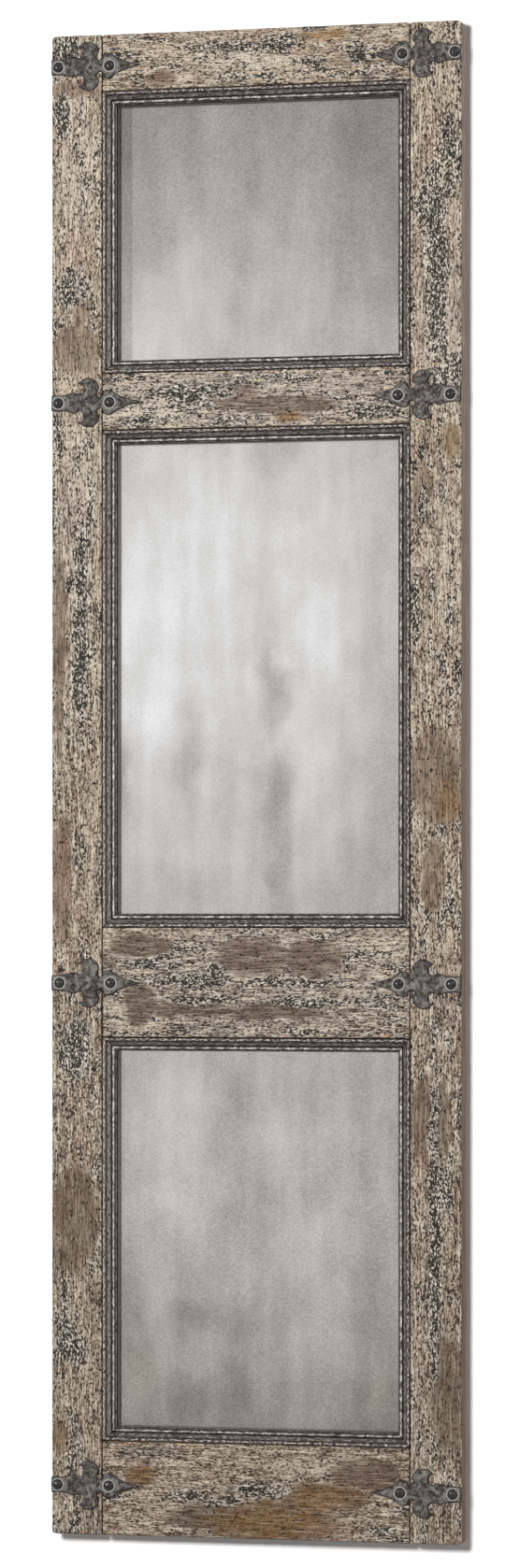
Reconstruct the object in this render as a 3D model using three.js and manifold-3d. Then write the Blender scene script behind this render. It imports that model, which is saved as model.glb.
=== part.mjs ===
// A tall shutter mirror: a wooden frame of two stiles and four rails round three mirror panes, with mitred
// mouldings, forged strap plates held by dome nails, a back panel, and two swinging D-rings to hang it by.
//
// Millimetres, +Z up, +X to the right as seen from the front, and the front faces -Y.
// The origin is the middle of the bottom edge, half way through the thickness of the wood.

import * as THREE from 'three';
import { mergeVertices } from 'three/addons/utils/BufferGeometryUtils.js';
import Module from 'manifold-3d';

// ---------- Driving dimensions ----------

// Wooden frame
const FRAME_WIDTH = 559;
const WOOD_THICKNESS = 34;
const STILE_WIDTH = 70;
const TOP_RAIL_HEIGHT = 77;
const UPPER_RAIL_HEIGHT = 76;
const LOWER_RAIL_HEIGHT = 147;
const BOTTOM_RAIL_HEIGHT = 127;
const TOP_OPENING_HEIGHT = 377;
const MIDDLE_OPENING_HEIGHT = 664;
const BOTTOM_OPENING_HEIGHT = 539;
const CORNER_RADIUS = 5.5;
const EDGE_SOFTENING = 2;

// Mortise and tenon joints
const TENON_LENGTH = 45;
const TENON_THICKNESS = 10;
const TENON_FRONT_DEPTH = 9;
const TENON_SHOULDER = 14;

// Mouldings round the glass
const MOULDING_WIDTH = 18;
const OUTER_BEAD_WIDTH = 4.6;
const OUTER_BEAD_RISE = 1.5;
const OUTER_BEAD_SINK = 0.4;
const COVE_WIDTH = 5.4;
const COVE_DROP = 6.5;
const GROOVE_WIDTH = 1;
const GROOVE_DROP = 1.2;
const LIP_DEPTH = 15;

// Glass and back panel
const GLASS_THICKNESS = 4;
const GLASS_EDGE_GAP = 0.8;
const PANEL_THICKNESS = 5;
const PANEL_RIM = 40;
const PANEL_SINK = 0.4;
const PANEL_EDGE_GAP = 0.6;

// Forged strap plates, measured from their outer end along the middle line
const STRAP_LENGTH = 122.5;
const STRAP_THICKNESS = 2.5;
const STRAP_INSET = 0.4;
const STRAP_END_WIDTH = 22;
const STRAP_END_CORNER = 2;
const STRAP_BULGE_AT = 30;
const STRAP_BULGE_WIDTH = 29;
const STRAP_WAIST_AT = 41.5;
const STRAP_WAIST_WIDTH = 18.6;
const STRAP_WAIST_RADIUS = 7.4;
const STRAP_LEAF_AT = 51.5;
const STRAP_LEAF_SPAN = 67;
const STRAP_LEAF_RADIUS = 15.2;
const STRAP_HORN_AT = 38;
const STRAP_HORN_SPAN = 52.5;
const STRAP_NECK_AT = 67.3;
const STRAP_NECK_WIDTH = 16.4;
const STRAP_NECK_RADIUS = 4;
const STRAP_PETAL_AT = 78.5;
const STRAP_PETAL_WIDTH = 34.6;
const STRAP_PETAL_RADIUS = 12.8;
const STRAP_TIP_WIDTH = 2.4;

// Dome nails
const NAIL_SPACING = 70.5;
const NAIL_HEAD_RADIUS = 6.8;
const NAIL_HEAD_HEIGHT = 4.2;
const NAIL_SHANK_RADIUS = 1.4;
const NAIL_SHANK_LENGTH = 20;
const NAIL_POINT_LENGTH = 4;

// Wood screws
const SCREW_HEAD_RADIUS = 3.6;
const SCREW_HEAD_HEIGHT = 2.2;
const SCREW_SHANK_RADIUS = 1.8;
const SCREW_POINT_LENGTH = 3;
const SCREW_RECESS_WIDTH = 0.9;
const SCREW_RECESS_DEPTH = 1.2;
const PANEL_SCREW_LENGTH = 11.5;
const PANEL_SCREW_INSET = 14;
const PANEL_SCREW_ROWS = 3;
const HANGER_SCREW_LENGTH = 18;

// D-ring hangers
const HANGER_DROP = 262;
const HANGER_PLATE_WIDTH = 16;
const HANGER_PLATE_LENGTH = 52;
const HANGER_PLATE_THICKNESS = 1.5;
const HANGER_PLATE_CORNER = 2;
const HANGER_FIRST_SCREW = 26;
const HANGER_SCREW_SPACING = 16;
const RING_WIRE_RADIUS = 1.75;
const RING_SIDE_PLAY = 1.5;
const RING_LEG_LENGTH = 7;

// Clearances
const JOINT_GAP = 0.3;
const SEAT_GAP = 0.3;
const HOLE_GAP = 0.3;

// Fineness of the round shapes
const CURVE_STEPS = 4;
const ROUND_SIDES = 12;

// ---------- Sizes worked out from them ----------

const FRONT = -WOOD_THICKNESS / 2;
const BACK = WOOD_THICKNESS / 2;
const HALF_WIDTH = FRAME_WIDTH / 2;
const OPENING_WIDTH = FRAME_WIDTH - 2 * STILE_WIDTH;
const POCKET_DEPTH = PANEL_THICKNESS + PANEL_SINK + SEAT_GAP;
const RAIL_BACK = BACK - POCKET_DEPTH;
const GLASS_BACK = RAIL_BACK;
const GLASS_FRONT = GLASS_BACK - GLASS_THICKNESS;
const MOULDING_BACK = GLASS_FRONT - SEAT_GAP;

// Rails and openings, stacked from the bottom edge up
const stretch = (name, low, height) => ({ name, low, high: low + height });
const bottomRail = stretch('bottom_rail', 0, BOTTOM_RAIL_HEIGHT);
const bottomOpening = stretch('bottom_pane', bottomRail.high, BOTTOM_OPENING_HEIGHT);
const lowerRail = stretch('lower_rail', bottomOpening.high, LOWER_RAIL_HEIGHT);
const middleOpening = stretch('middle_pane', lowerRail.high, MIDDLE_OPENING_HEIGHT);
const upperRail = stretch('upper_rail', middleOpening.high, UPPER_RAIL_HEIGHT);
const topOpening = stretch('top_pane', upperRail.high, TOP_OPENING_HEIGHT);
const topRail = stretch('top_rail', topOpening.high, TOP_RAIL_HEIGHT);
const RAILS = [bottomRail, lowerRail, upperRail, topRail];
const OPENINGS = [bottomOpening, middleOpening, topOpening];
const FRAME_HEIGHT = topRail.high;

const middle = ({ low, high }) => (low + high) / 2;

// Each strap was nailed on by hand: its lift above the middle of its rail, and its outer nail from its end
const STRAPS = [
  { name: 'top_left_strap', side: -1, rail: topRail, lift: -4.7, outerNail: 10 },
  { name: 'top_right_strap', side: 1, rail: topRail, lift: -4.2, outerNail: 9 },
  { name: 'upper_left_strap', side: -1, rail: upperRail, lift: -0.8, outerNail: 10 },
  { name: 'upper_right_strap', side: 1, rail: upperRail, lift: -0.4, outerNail: 15 },
  { name: 'lower_left_strap', side: -1, rail: lowerRail, lift: -1, outerNail: 11.5 },
  { name: 'lower_right_strap', side: 1, rail: lowerRail, lift: -1.3, outerNail: 14 },
  { name: 'bottom_left_strap', side: -1, rail: bottomRail, lift: 3.7, outerNail: 9 },
  { name: 'bottom_right_strap', side: 1, rail: bottomRail, lift: 4.2, outerNail: 12 },
];

// ---------- Materials ----------

function material(color, roughness, metalness) {
  return new THREE.MeshStandardMaterial({ color, roughness, metalness });
}

const PAINTED_WOOD = material(0xa08f7c, 0.85, 0);
const MOULDING_PAINT = material(0x6f665f, 0.8, 0);
const MIRROR = material(0xc4c4c0, 0.15, 1);
const PANEL_BOARD = material(0x7d5f43, 0.8, 0);
const FORGED_IRON = material(0x4c4845, 0.6, 0.8);
const NAIL_IRON = material(0x2a2726, 0.35, 0.9);
const ZINC = material(0xb5b6b4, 0.35, 1);

// ---------- Solids: joining and cutting ----------

const wasm = await Module();
wasm.setup();

function toSolid(geometry) {
  const bare = geometry.clone();
  bare.deleteAttribute('normal');
  bare.deleteAttribute('uv');
  const merged = mergeVertices(bare);
  return new wasm.Manifold(new wasm.Mesh({
    numProp: 3,
    vertProperties: merged.attributes.position.array,
    triVerts: Uint32Array.from(merged.index.array),
  }));
}

function toGeometry(solid) {
  const mesh = solid.getMesh();
  const geometry = new THREE.BufferGeometry();
  geometry.setAttribute('position', new THREE.BufferAttribute(mesh.vertProperties, 3));
  geometry.setIndex(new THREE.BufferAttribute(mesh.triVerts, 1));
  geometry.computeVertexNormals();
  return geometry;
}

function joined(geometries) {
  return toGeometry(geometries.map(toSolid).reduce((whole, solid) => whole.add(solid)));
}

function cut(geometry, cutters) {
  return toGeometry(cutters.map(toSolid).reduce((whole, solid) => whole.subtract(solid), toSolid(geometry)));
}

function common(geometry, other) {
  return toGeometry(toSolid(geometry).intersect(toSolid(other)));
}

// ---------- Shapes shared by several pieces ----------

const X_AXIS = new THREE.Vector3(1, 0, 0);
const Y_AXIS = new THREE.Vector3(0, 1, 0);
const Z_AXIS = new THREE.Vector3(0, 0, 1);
const TO_FRONT = new THREE.Vector3(0, -1, 0);

// A box from its low corner to its high corner
function boxBetween(low, high) {
  const size = high.map((value, axis) => value - low[axis]);
  const centre = high.map((value, axis) => (value + low[axis]) / 2);
  return new THREE.BoxGeometry(...size).translate(...centre);
}

// A round bar along Y, from one Y to another, round the point x, z
function barAlongY(radius, from, to, x, z) {
  return new THREE.CylinderGeometry(radius, radius, to - from, ROUND_SIDES).translate(x, (from + to) / 2, z);
}

// Turns a flat shape's X, Y and thickness to the given directions
function laid(geometry, shapeX, shapeY, thickness) {
  return geometry.applyMatrix4(new THREE.Matrix4().makeBasis(shapeX, shapeY, thickness));
}

function roundedRectangle(left, right, bottom, top, radius) {
  const shape = new THREE.Shape();
  shape.absarc(right - radius, bottom + radius, radius, -Math.PI / 2, 0);
  shape.absarc(right - radius, top - radius, radius, 0, Math.PI / 2);
  shape.absarc(left + radius, top - radius, radius, Math.PI / 2, Math.PI);
  shape.absarc(left + radius, bottom + radius, radius, Math.PI, 1.5 * Math.PI);
  return shape;
}

// A part of the object, under its name
function piece(name, geometry, finish) {
  const mesh = new THREE.Mesh(geometry, finish.clone());
  mesh.name = name;
  return mesh;
}

// ---------- Wooden frame ----------

// The whole frame's outer form, with its round corners and softened edges
function frameBlank() {
  const outline = roundedRectangle(-HALF_WIDTH, HALF_WIDTH, 0, FRAME_HEIGHT, CORNER_RADIUS);
  const blank = new THREE.ExtrudeGeometry(outline, {
    depth: WOOD_THICKNESS - 2 * EDGE_SOFTENING,
    bevelThickness: EDGE_SOFTENING,
    bevelSize: EDGE_SOFTENING,
    bevelOffset: -EDGE_SOFTENING,
    bevelSegments: 2,
    curveSegments: CURVE_STEPS,
  });
  return laid(blank, X_AXIS, Z_AXIS, TO_FRONT).translate(0, BACK - EDGE_SOFTENING, 0);
}

// The shallow pocket in the back of the frame that the panel lies in
function panelPocket() {
  const reach = HALF_WIDTH - PANEL_RIM;
  return boxBetween([-reach, RAIL_BACK, PANEL_RIM], [reach, BACK + POCKET_DEPTH, FRAME_HEIGHT - PANEL_RIM]);
}

// A rail's tenon on one side, or with a gap all round the mortise for it
function tenon({ low, high }, side, gap) {
  const root = side * (OPENING_WIDTH / 2 - TENON_SHOULDER);
  const end = side * (OPENING_WIDTH / 2 + TENON_LENGTH + gap);
  const front = FRONT + TENON_FRONT_DEPTH;
  return boxBetween(
    [Math.min(root, end), front - gap, low + TENON_SHOULDER - gap],
    [Math.max(root, end), front + TENON_THICKNESS + gap, high - TENON_SHOULDER + gap],
  );
}

function nailHoles() {
  const bottom = FRONT + nailReach() + HOLE_GAP;
  return STRAPS.flatMap((strap) => nailPlaces(strap).map(
    (x) => barAlongY(NAIL_SHANK_RADIUS + HOLE_GAP, FRONT - 1, bottom, x, strapHeight(strap)),
  ));
}

function screwHoles() {
  const panelScrews = panelScrewPlaces().map(([x, z]) => [x, z, RAIL_BACK - panelScrewReach() - HOLE_GAP]);
  const hangerScrews = hangerScrewPlaces().map(([x, z]) => [x, z, BACK - hangerScrewReach() - HOLE_GAP]);
  return [...panelScrews, ...hangerScrews].map(
    ([x, z, bottom]) => barAlongY(SCREW_SHANK_RADIUS + HOLE_GAP, bottom, BACK + 1, x, z),
  );
}

// Keeps the cutters whose middle lies inside a member's stretch of X and Z
function near(cutters, low, high) {
  return cutters.filter((cutter) => {
    cutter.computeBoundingBox();
    const centre = cutter.boundingBox.getCenter(new THREE.Vector3());
    return centre.x > low[0] && centre.x < high[0] && centre.z > low[2] && centre.z < high[2];
  });
}

function stile(name, side) {
  const edges = [side * HALF_WIDTH, side * OPENING_WIDTH / 2];
  const low = [Math.min(...edges), FRONT, 0];
  const high = [Math.max(...edges), BACK, FRAME_HEIGHT];
  const board = common(boxBetween(low, high), frameBlank());
  const mortises = RAILS.map((member) => tenon(member, side, JOINT_GAP));
  const holes = near([...nailHoles(), ...screwHoles()], low, high);
  return piece(name, cut(board, [panelPocket(), ...mortises, ...holes]), PAINTED_WOOD);
}

function rail({ name, low, high }) {
  const end = OPENING_WIDTH / 2 - JOINT_GAP;
  const reach = OPENING_WIDTH / 2 + TENON_LENGTH;
  const board = common(boxBetween([-end, FRONT, low], [end, BACK, high]), frameBlank());
  const withTenons = joined([board, tenon({ low, high }, -1, 0), tenon({ low, high }, 1, 0)]);
  const holes = near([...nailHoles(), ...screwHoles()], [-reach, FRONT, low], [reach, BACK, high]);
  return piece(name, cut(withTenons, [panelPocket(), ...holes]), PAINTED_WOOD);
}

function woodenFrame() {
  const frame = new THREE.Group();
  frame.add(stile('left_stile', -1), stile('right_stile', 1), ...RAILS.map(rail));
  return frame;
}

// ---------- Mouldings and glass ----------

// A strip's section: X runs from the edge of the opening towards the glass, Y towards the front
function mouldingSection() {
  const beadTop = -FRONT - OUTER_BEAD_SINK;
  const beadFoot = beadTop - OUTER_BEAD_RISE;
  const coveEnd = OUTER_BEAD_WIDTH + COVE_WIDTH;
  const coveFloor = beadFoot - COVE_DROP;
  const lip = -FRONT - LIP_DEPTH;
  const section = new THREE.Shape();
  section.moveTo(0, -MOULDING_BACK);
  section.lineTo(MOULDING_WIDTH, -MOULDING_BACK);
  section.lineTo(MOULDING_WIDTH, lip);
  section.bezierCurveTo(
    MOULDING_WIDTH, (lip + beadFoot) / 2,
    coveEnd + 2 * GROOVE_WIDTH, coveFloor + GROOVE_DROP,
    coveEnd + GROOVE_WIDTH, coveFloor - GROOVE_DROP,
  );
  section.lineTo(coveEnd, coveFloor);
  section.quadraticCurveTo(
    OUTER_BEAD_WIDTH + COVE_WIDTH / 4, coveFloor + COVE_DROP / 4,
    OUTER_BEAD_WIDTH, beadFoot,
  );
  section.absellipse(OUTER_BEAD_WIDTH / 2, beadFoot, OUTER_BEAD_WIDTH / 2, OUTER_BEAD_RISE, 0, Math.PI);
  return section;
}

// A strip lying along X with both ends mitred, its outer edge on Z = 0 and its inner edge above that
function mitredStrip(length) {
  const strip = new THREE.ExtrudeGeometry(mouldingSection(), {
    depth: length, bevelEnabled: false, curveSegments: CURVE_STEPS,
  });
  const points = strip.attributes.position;
  for (let index = 0; index < points.count; index += 1) {
    const inward = points.getX(index);
    const atStart = points.getZ(index) < length / 2;
    points.setZ(index, atStart ? inward - length / 2 : length / 2 - inward);
  }
  return laid(strip, Z_AXIS, TO_FRONT, X_AXIS);
}

// Four strips round one opening, each turned about Y to its own edge
function mouldings(opening) {
  const width = OPENING_WIDTH - 2 * JOINT_GAP;
  const height = opening.high - opening.low - 2 * JOINT_GAP;
  const mitreGap = 2 * JOINT_GAP;
  const edges = [
    { edge: 'bottom', turn: 0, length: width - mitreGap, reach: height / 2 },
    { edge: 'left', turn: Math.PI / 2, length: height - mitreGap, reach: width / 2 },
    { edge: 'top', turn: Math.PI, length: width - mitreGap, reach: height / 2 },
    { edge: 'right', turn: -Math.PI / 2, length: height - mitreGap, reach: width / 2 },
  ];
  return edges.map(({ edge, turn, length, reach }) => {
    const strip = piece(`${opening.name}_${edge}_moulding`, mitredStrip(length), MOULDING_PAINT);
    strip.position.set(0, 0, -reach).applyAxisAngle(Y_AXIS, turn);
    strip.rotation.y = turn;
    return strip;
  });
}

function mirrorPane(opening) {
  const width = OPENING_WIDTH - 2 * GLASS_EDGE_GAP;
  const height = opening.high - opening.low - 2 * GLASS_EDGE_GAP;
  const pane = piece(opening.name, new THREE.BoxGeometry(width, GLASS_THICKNESS, height), MIRROR);
  pane.position.y = (GLASS_FRONT + GLASS_BACK) / 2;
  return pane;
}

function glazing(opening) {
  const group = new THREE.Group();
  group.position.z = middle(opening);
  group.add(mirrorPane(opening), ...mouldings(opening));
  return group;
}

// ---------- Strap plates and dome nails ----------

// Half of the strap's edge, from its outer end to its tip, on one side of its middle line
function strapEdge() {
  const end = STRAP_END_WIDTH / 2;
  const bulge = STRAP_BULGE_WIDTH / 2;
  const waist = STRAP_WAIST_WIDTH / 2 + STRAP_WAIST_RADIUS;
  const leaf = STRAP_LEAF_SPAN / 2 - STRAP_LEAF_RADIUS;
  const neck = STRAP_NECK_WIDTH / 2 + STRAP_NECK_RADIUS;
  const petal = STRAP_PETAL_WIDTH / 2 - STRAP_PETAL_RADIUS;
  const taper = STRAP_PETAL_AT + STRAP_PETAL_RADIUS * Math.SQRT1_2;
  const edge = new THREE.Path();
  edge.moveTo(0, end - STRAP_END_CORNER);
  edge.quadraticCurveTo(0, end, STRAP_END_CORNER, end);
  edge.lineTo(STRAP_BULGE_AT / 2, end);
  edge.quadraticCurveTo(STRAP_BULGE_AT * 0.8, end, STRAP_BULGE_AT, bulge);
  edge.absarc(STRAP_WAIST_AT, waist, STRAP_WAIST_RADIUS, 1.2 * Math.PI, 2.2 * Math.PI);
  edge.lineTo(STRAP_HORN_AT, STRAP_HORN_SPAN / 2);
  edge.absarc(STRAP_LEAF_AT, leaf, STRAP_LEAF_RADIUS, 0.75 * Math.PI, 0.02 * Math.PI, true);
  edge.absarc(STRAP_NECK_AT, neck, STRAP_NECK_RADIUS, 0.7 * Math.PI, 2.05 * Math.PI);
  edge.absarc(STRAP_PETAL_AT, petal, STRAP_PETAL_RADIUS, 0.7 * Math.PI, 0.25 * Math.PI, true);
  edge.bezierCurveTo(
    taper + STRAP_PETAL_RADIUS / 2, petal + STRAP_PETAL_RADIUS * 0.3,
    STRAP_LENGTH - STRAP_PETAL_RADIUS, STRAP_TIP_WIDTH * 1.5,
    STRAP_LENGTH, STRAP_TIP_WIDTH / 2,
  );
  return edge.getPoints(CURVE_STEPS);
}

function strapShape(nailDistances) {
  const upper = strapEdge();
  const lower = upper.map((point) => new THREE.Vector2(point.x, -point.y)).reverse();
  const shape = new THREE.Shape([...lower, ...upper]);
  shape.holes = nailDistances.map(
    (distance) => new THREE.Path().absarc(distance, 0, NAIL_SHANK_RADIUS + HOLE_GAP, 0, 2 * Math.PI),
  );
  return shape;
}

const nailDistances = (strap) => [strap.outerNail, strap.outerNail + NAIL_SPACING];
const strapEndX = (strap) => strap.side * (HALF_WIDTH - STRAP_INSET);
const nailX = (strap, distance) => strapEndX(strap) - strap.side * distance;
const nailPlaces = (strap) => nailDistances(strap).map((distance) => nailX(strap, distance));
const nailHeadGap = () => SEAT_GAP + STRAP_THICKNESS + SEAT_GAP;
const strapHeight = (strap) => middle(strap.rail) + strap.lift;
const nailReach = () => NAIL_SHANK_LENGTH - nailHeadGap();

function strapPlate(strap) {
  const plate = new THREE.ExtrudeGeometry(strapShape(nailDistances(strap)), {
    depth: STRAP_THICKNESS, bevelEnabled: false, curveSegments: CURVE_STEPS,
  });
  const mesh = piece(strap.name, laid(plate, X_AXIS, Z_AXIS, TO_FRONT), FORGED_IRON);
  mesh.position.set(strapEndX(strap), FRONT - SEAT_GAP, strapHeight(strap));
  mesh.rotation.y = strap.side < 0 ? 0 : Math.PI;
  return mesh;
}

// A nail standing on Y = 0, its domed head towards +Y and its shank below
function nailGeometry() {
  const profile = new THREE.Path();
  profile.moveTo(0, -NAIL_SHANK_LENGTH);
  profile.lineTo(NAIL_SHANK_RADIUS, NAIL_POINT_LENGTH - NAIL_SHANK_LENGTH);
  profile.lineTo(NAIL_SHANK_RADIUS, 0);
  profile.lineTo(NAIL_HEAD_RADIUS, 0);
  profile.absellipse(0, 0, NAIL_HEAD_RADIUS, NAIL_HEAD_HEIGHT, 0, Math.PI / 2);
  return new THREE.LatheGeometry(onAxis(profile.getPoints(CURVE_STEPS / 2)), ROUND_SIDES);
}

// The profile's points, with its two ends set exactly on the axis
function onAxis(points) {
  points[0].x = 0;
  points[points.length - 1].x = 0;
  return points;
}

function strapNails(strap) {
  return nailPlaces(strap).map((x, index) => {
    const nail = piece(`${strap.name}_${['outer', 'inner'][index]}_nail`, nailGeometry(), NAIL_IRON);
    nail.position.set(x, FRONT - nailHeadGap(), strapHeight(strap));
    nail.rotation.x = Math.PI;
    return nail;
  });
}

function strapWork() {
  const group = new THREE.Group();
  STRAPS.forEach((strap) => group.add(strapPlate(strap), ...strapNails(strap)));
  return group;
}

// ---------- Back panel and screws ----------

const panelHalfWidth = () => HALF_WIDTH - PANEL_RIM - PANEL_EDGE_GAP;
const panelLow = () => PANEL_RIM + PANEL_EDGE_GAP;
const panelHigh = () => FRAME_HEIGHT - PANEL_RIM - PANEL_EDGE_GAP;
const panelScrewReach = () => PANEL_SCREW_LENGTH - PANEL_THICKNESS - 2 * SEAT_GAP;
const hangerScrewReach = () => HANGER_SCREW_LENGTH - HANGER_PLATE_THICKNESS - 2 * SEAT_GAP;

// Rows of screws up both sides of the panel, each a short way in from its edge
function panelScrewPlaces() {
  const x = panelHalfWidth() - PANEL_SCREW_INSET;
  const low = panelLow() + PANEL_SCREW_INSET;
  const high = panelHigh() - PANEL_SCREW_INSET;
  const pitch = (high - low) / (PANEL_SCREW_ROWS - 1);
  const rows = Array.from({ length: PANEL_SCREW_ROWS }, (_, row) => low + row * pitch);
  return rows.flatMap((z) => [[-x, z], [x, z]]);
}

function backPanel() {
  const back = BACK - PANEL_SINK;
  const board = boxBetween(
    [-panelHalfWidth(), back - PANEL_THICKNESS, panelLow()],
    [panelHalfWidth(), back, panelHigh()],
  );
  const holes = panelScrewPlaces().map(
    ([x, z]) => barAlongY(SCREW_SHANK_RADIUS + HOLE_GAP, RAIL_BACK, BACK + 1, x, z),
  );
  return piece('back_panel', cut(board, holes), PANEL_BOARD);
}

// A screw standing on Y = 0, its pan head towards +Y with a cross recess, its shank below
function screwGeometry(length) {
  const profile = new THREE.Path();
  profile.moveTo(0, -length);
  profile.lineTo(SCREW_SHANK_RADIUS, SCREW_POINT_LENGTH - length);
  profile.lineTo(SCREW_SHANK_RADIUS, 0);
  profile.lineTo(SCREW_HEAD_RADIUS, 0);
  profile.lineTo(SCREW_HEAD_RADIUS, SCREW_HEAD_HEIGHT / 2);
  profile.quadraticCurveTo(SCREW_HEAD_RADIUS, SCREW_HEAD_HEIGHT, SCREW_HEAD_RADIUS / 2, SCREW_HEAD_HEIGHT);
  profile.lineTo(0, SCREW_HEAD_HEIGHT);
  const body = new THREE.LatheGeometry(onAxis(profile.getPoints(CURVE_STEPS / 2)), ROUND_SIDES);
  const slot = [SCREW_HEAD_RADIUS, 2 * SCREW_RECESS_DEPTH, SCREW_RECESS_WIDTH];
  const across = new THREE.BoxGeometry(...slot).translate(0, SCREW_HEAD_HEIGHT, 0);
  const along = new THREE.BoxGeometry(...[...slot].reverse()).translate(0, SCREW_HEAD_HEIGHT, 0);
  return cut(body, [across, along]);
}

function screws(prefix, places, length, seat) {
  return places.map(([x, z], index) => {
    const screw = piece(`${prefix}_${index + 1}`, screwGeometry(length), ZINC);
    screw.position.set(x, seat + SEAT_GAP, z);
    return screw;
  });
}

// ---------- D-ring hangers ----------

const eyeHoleRadius = () => RING_WIRE_RADIUS + HOLE_GAP;
const eyeRadius = () => eyeHoleRadius() + HANGER_PLATE_THICKNESS;
const hangerX = (side) => side * (HALF_WIDTH - PANEL_RIM / 2);
const hangerHeight = () => FRAME_HEIGHT - HANGER_DROP;
const hangerAxisY = () => BACK + SEAT_GAP + eyeRadius();
const hangerScrewHeights = () => [0, 1].map(
  (index) => hangerHeight() - HANGER_FIRST_SCREW - index * HANGER_SCREW_SPACING,
);

function hangerScrewPlaces() {
  return [-1, 1].flatMap((side) => hangerScrewHeights().map((z) => [hangerX(side), z]));
}

// The plate's flat leaf, which lies on the wood, below the ring's axis at Z = 0
function plateLeaf() {
  const half = HANGER_PLATE_WIDTH / 2;
  const outline = roundedRectangle(-half, half, -HANGER_PLATE_LENGTH, 0, HANGER_PLATE_CORNER);
  outline.holes = hangerScrewHeights().map((z) => new THREE.Path().absarc(
    0, z - hangerHeight(), SCREW_SHANK_RADIUS + HOLE_GAP, 0, 2 * Math.PI,
  ));
  const leaf = new THREE.ExtrudeGeometry(outline, {
    depth: HANGER_PLATE_THICKNESS, bevelEnabled: false, curveSegments: CURVE_STEPS,
  });
  return laid(leaf, X_AXIS, Z_AXIS, TO_FRONT).translate(0, HANGER_PLATE_THICKNESS - eyeRadius(), 0);
}

// The rolled eye at the top of the plate, which the ring's bar turns in
function plateEye() {
  const outline = new THREE.Shape().absarc(0, 0, eyeRadius(), 0, 2 * Math.PI);
  outline.holes = [new THREE.Path().absarc(0, 0, eyeHoleRadius(), 0, 2 * Math.PI)];
  const eye = new THREE.ExtrudeGeometry(outline, {
    depth: HANGER_PLATE_WIDTH, bevelEnabled: false, curveSegments: ROUND_SIDES,
  });
  return laid(eye, Y_AXIS, Z_AXIS, X_AXIS).translate(-HANGER_PLATE_WIDTH / 2, 0, 0);
}

// A D of round wire: a straight bar on X, two legs down and a half circle below them
function ringGeometry() {
  const reach = HANGER_PLATE_WIDTH / 2 + RING_SIDE_PLAY + RING_WIRE_RADIUS;
  const bar = new THREE.CylinderGeometry(RING_WIRE_RADIUS, RING_WIRE_RADIUS, 2 * reach, ROUND_SIDES);
  const pieces = [bar.rotateZ(Math.PI / 2)];
  [-reach, reach].forEach((x) => {
    const leg = new THREE.CylinderGeometry(RING_WIRE_RADIUS, RING_WIRE_RADIUS, RING_LEG_LENGTH, ROUND_SIDES);
    pieces.push(leg.rotateX(Math.PI / 2).translate(x, 0, -RING_LEG_LENGTH / 2));
    pieces.push(new THREE.SphereGeometry(RING_WIRE_RADIUS, ROUND_SIDES, ROUND_SIDES / 2).translate(x, 0, 0));
  });
  const hoop = new THREE.TorusGeometry(reach, RING_WIRE_RADIUS, ROUND_SIDES, 2 * ROUND_SIDES);
  hoop.rotateX(Math.PI / 2);
  const outside = reach + 2 * RING_WIRE_RADIUS;
  const lowerHalf = boxBetween([-outside, -outside, -outside], [outside, outside, 0]);
  pieces.push(common(hoop, lowerHalf).translate(0, 0, -RING_LEG_LENGTH));
  return joined(pieces);
}

function hanger(name, side) {
  const group = new THREE.Group();
  group.position.set(hangerX(side), hangerAxisY(), hangerHeight());
  const plate = piece(`${name}_hanger_plate`, joined([plateLeaf(), plateEye()]), ZINC);
  const ring = piece(`${name}_hanger_ring`, ringGeometry(), ZINC);
  group.add(plate, ring);
  return group;
}

function hangers() {
  const group = new THREE.Group();
  group.add(hanger('left', -1), hanger('right', 1));
  const seat = BACK + SEAT_GAP + HANGER_PLATE_THICKNESS;
  group.add(...screws('hanger_screw', hangerScrewPlaces(), HANGER_SCREW_LENGTH, seat));
  return group;
}

// ---------- The whole mirror ----------

const mirror = new THREE.Group();
mirror.add(woodenFrame());
mirror.add(...OPENINGS.map(glazing));
mirror.add(strapWork());
mirror.add(backPanel(), ...screws('panel_screw', panelScrewPlaces(), PANEL_SCREW_LENGTH, BACK - PANEL_SINK));
mirror.add(hangers());

export default mirror;
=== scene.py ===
# %% [markdown]
# # A tall shutter mirror
#
# Two stiles and four rails hold three antiqued panes. Mitred mouldings frame each pane, eight forged straps
# with dome nails decorate the joints, and two D-rings on the back hang it. The CAD model gives every place
# and size. Here each visible piece gets its worn, hand-made surface, and each finish its colours.

import math

import bmesh
import bpy
from mathutils import Matrix, Vector
from mathutils.kdtree import KDTree


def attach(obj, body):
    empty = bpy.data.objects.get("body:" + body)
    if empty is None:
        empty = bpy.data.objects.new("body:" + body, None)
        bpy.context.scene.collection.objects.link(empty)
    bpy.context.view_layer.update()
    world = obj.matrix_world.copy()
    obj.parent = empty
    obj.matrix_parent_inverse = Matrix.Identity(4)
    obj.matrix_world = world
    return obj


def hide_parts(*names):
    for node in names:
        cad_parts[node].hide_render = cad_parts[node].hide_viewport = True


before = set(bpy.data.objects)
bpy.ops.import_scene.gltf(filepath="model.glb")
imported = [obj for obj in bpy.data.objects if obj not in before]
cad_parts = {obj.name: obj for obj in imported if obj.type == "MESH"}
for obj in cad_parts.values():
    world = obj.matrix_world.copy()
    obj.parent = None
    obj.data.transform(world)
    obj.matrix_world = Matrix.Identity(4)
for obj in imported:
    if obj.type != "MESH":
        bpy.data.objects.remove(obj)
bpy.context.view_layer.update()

# %% [markdown]
# ## The camera
#
# The photograph looks at the mirror from a little to its right, with upright lines upright: the camera is
# level and its lens is shifted. A long lens keeps the far edge nearly as tall as the near one.

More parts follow.
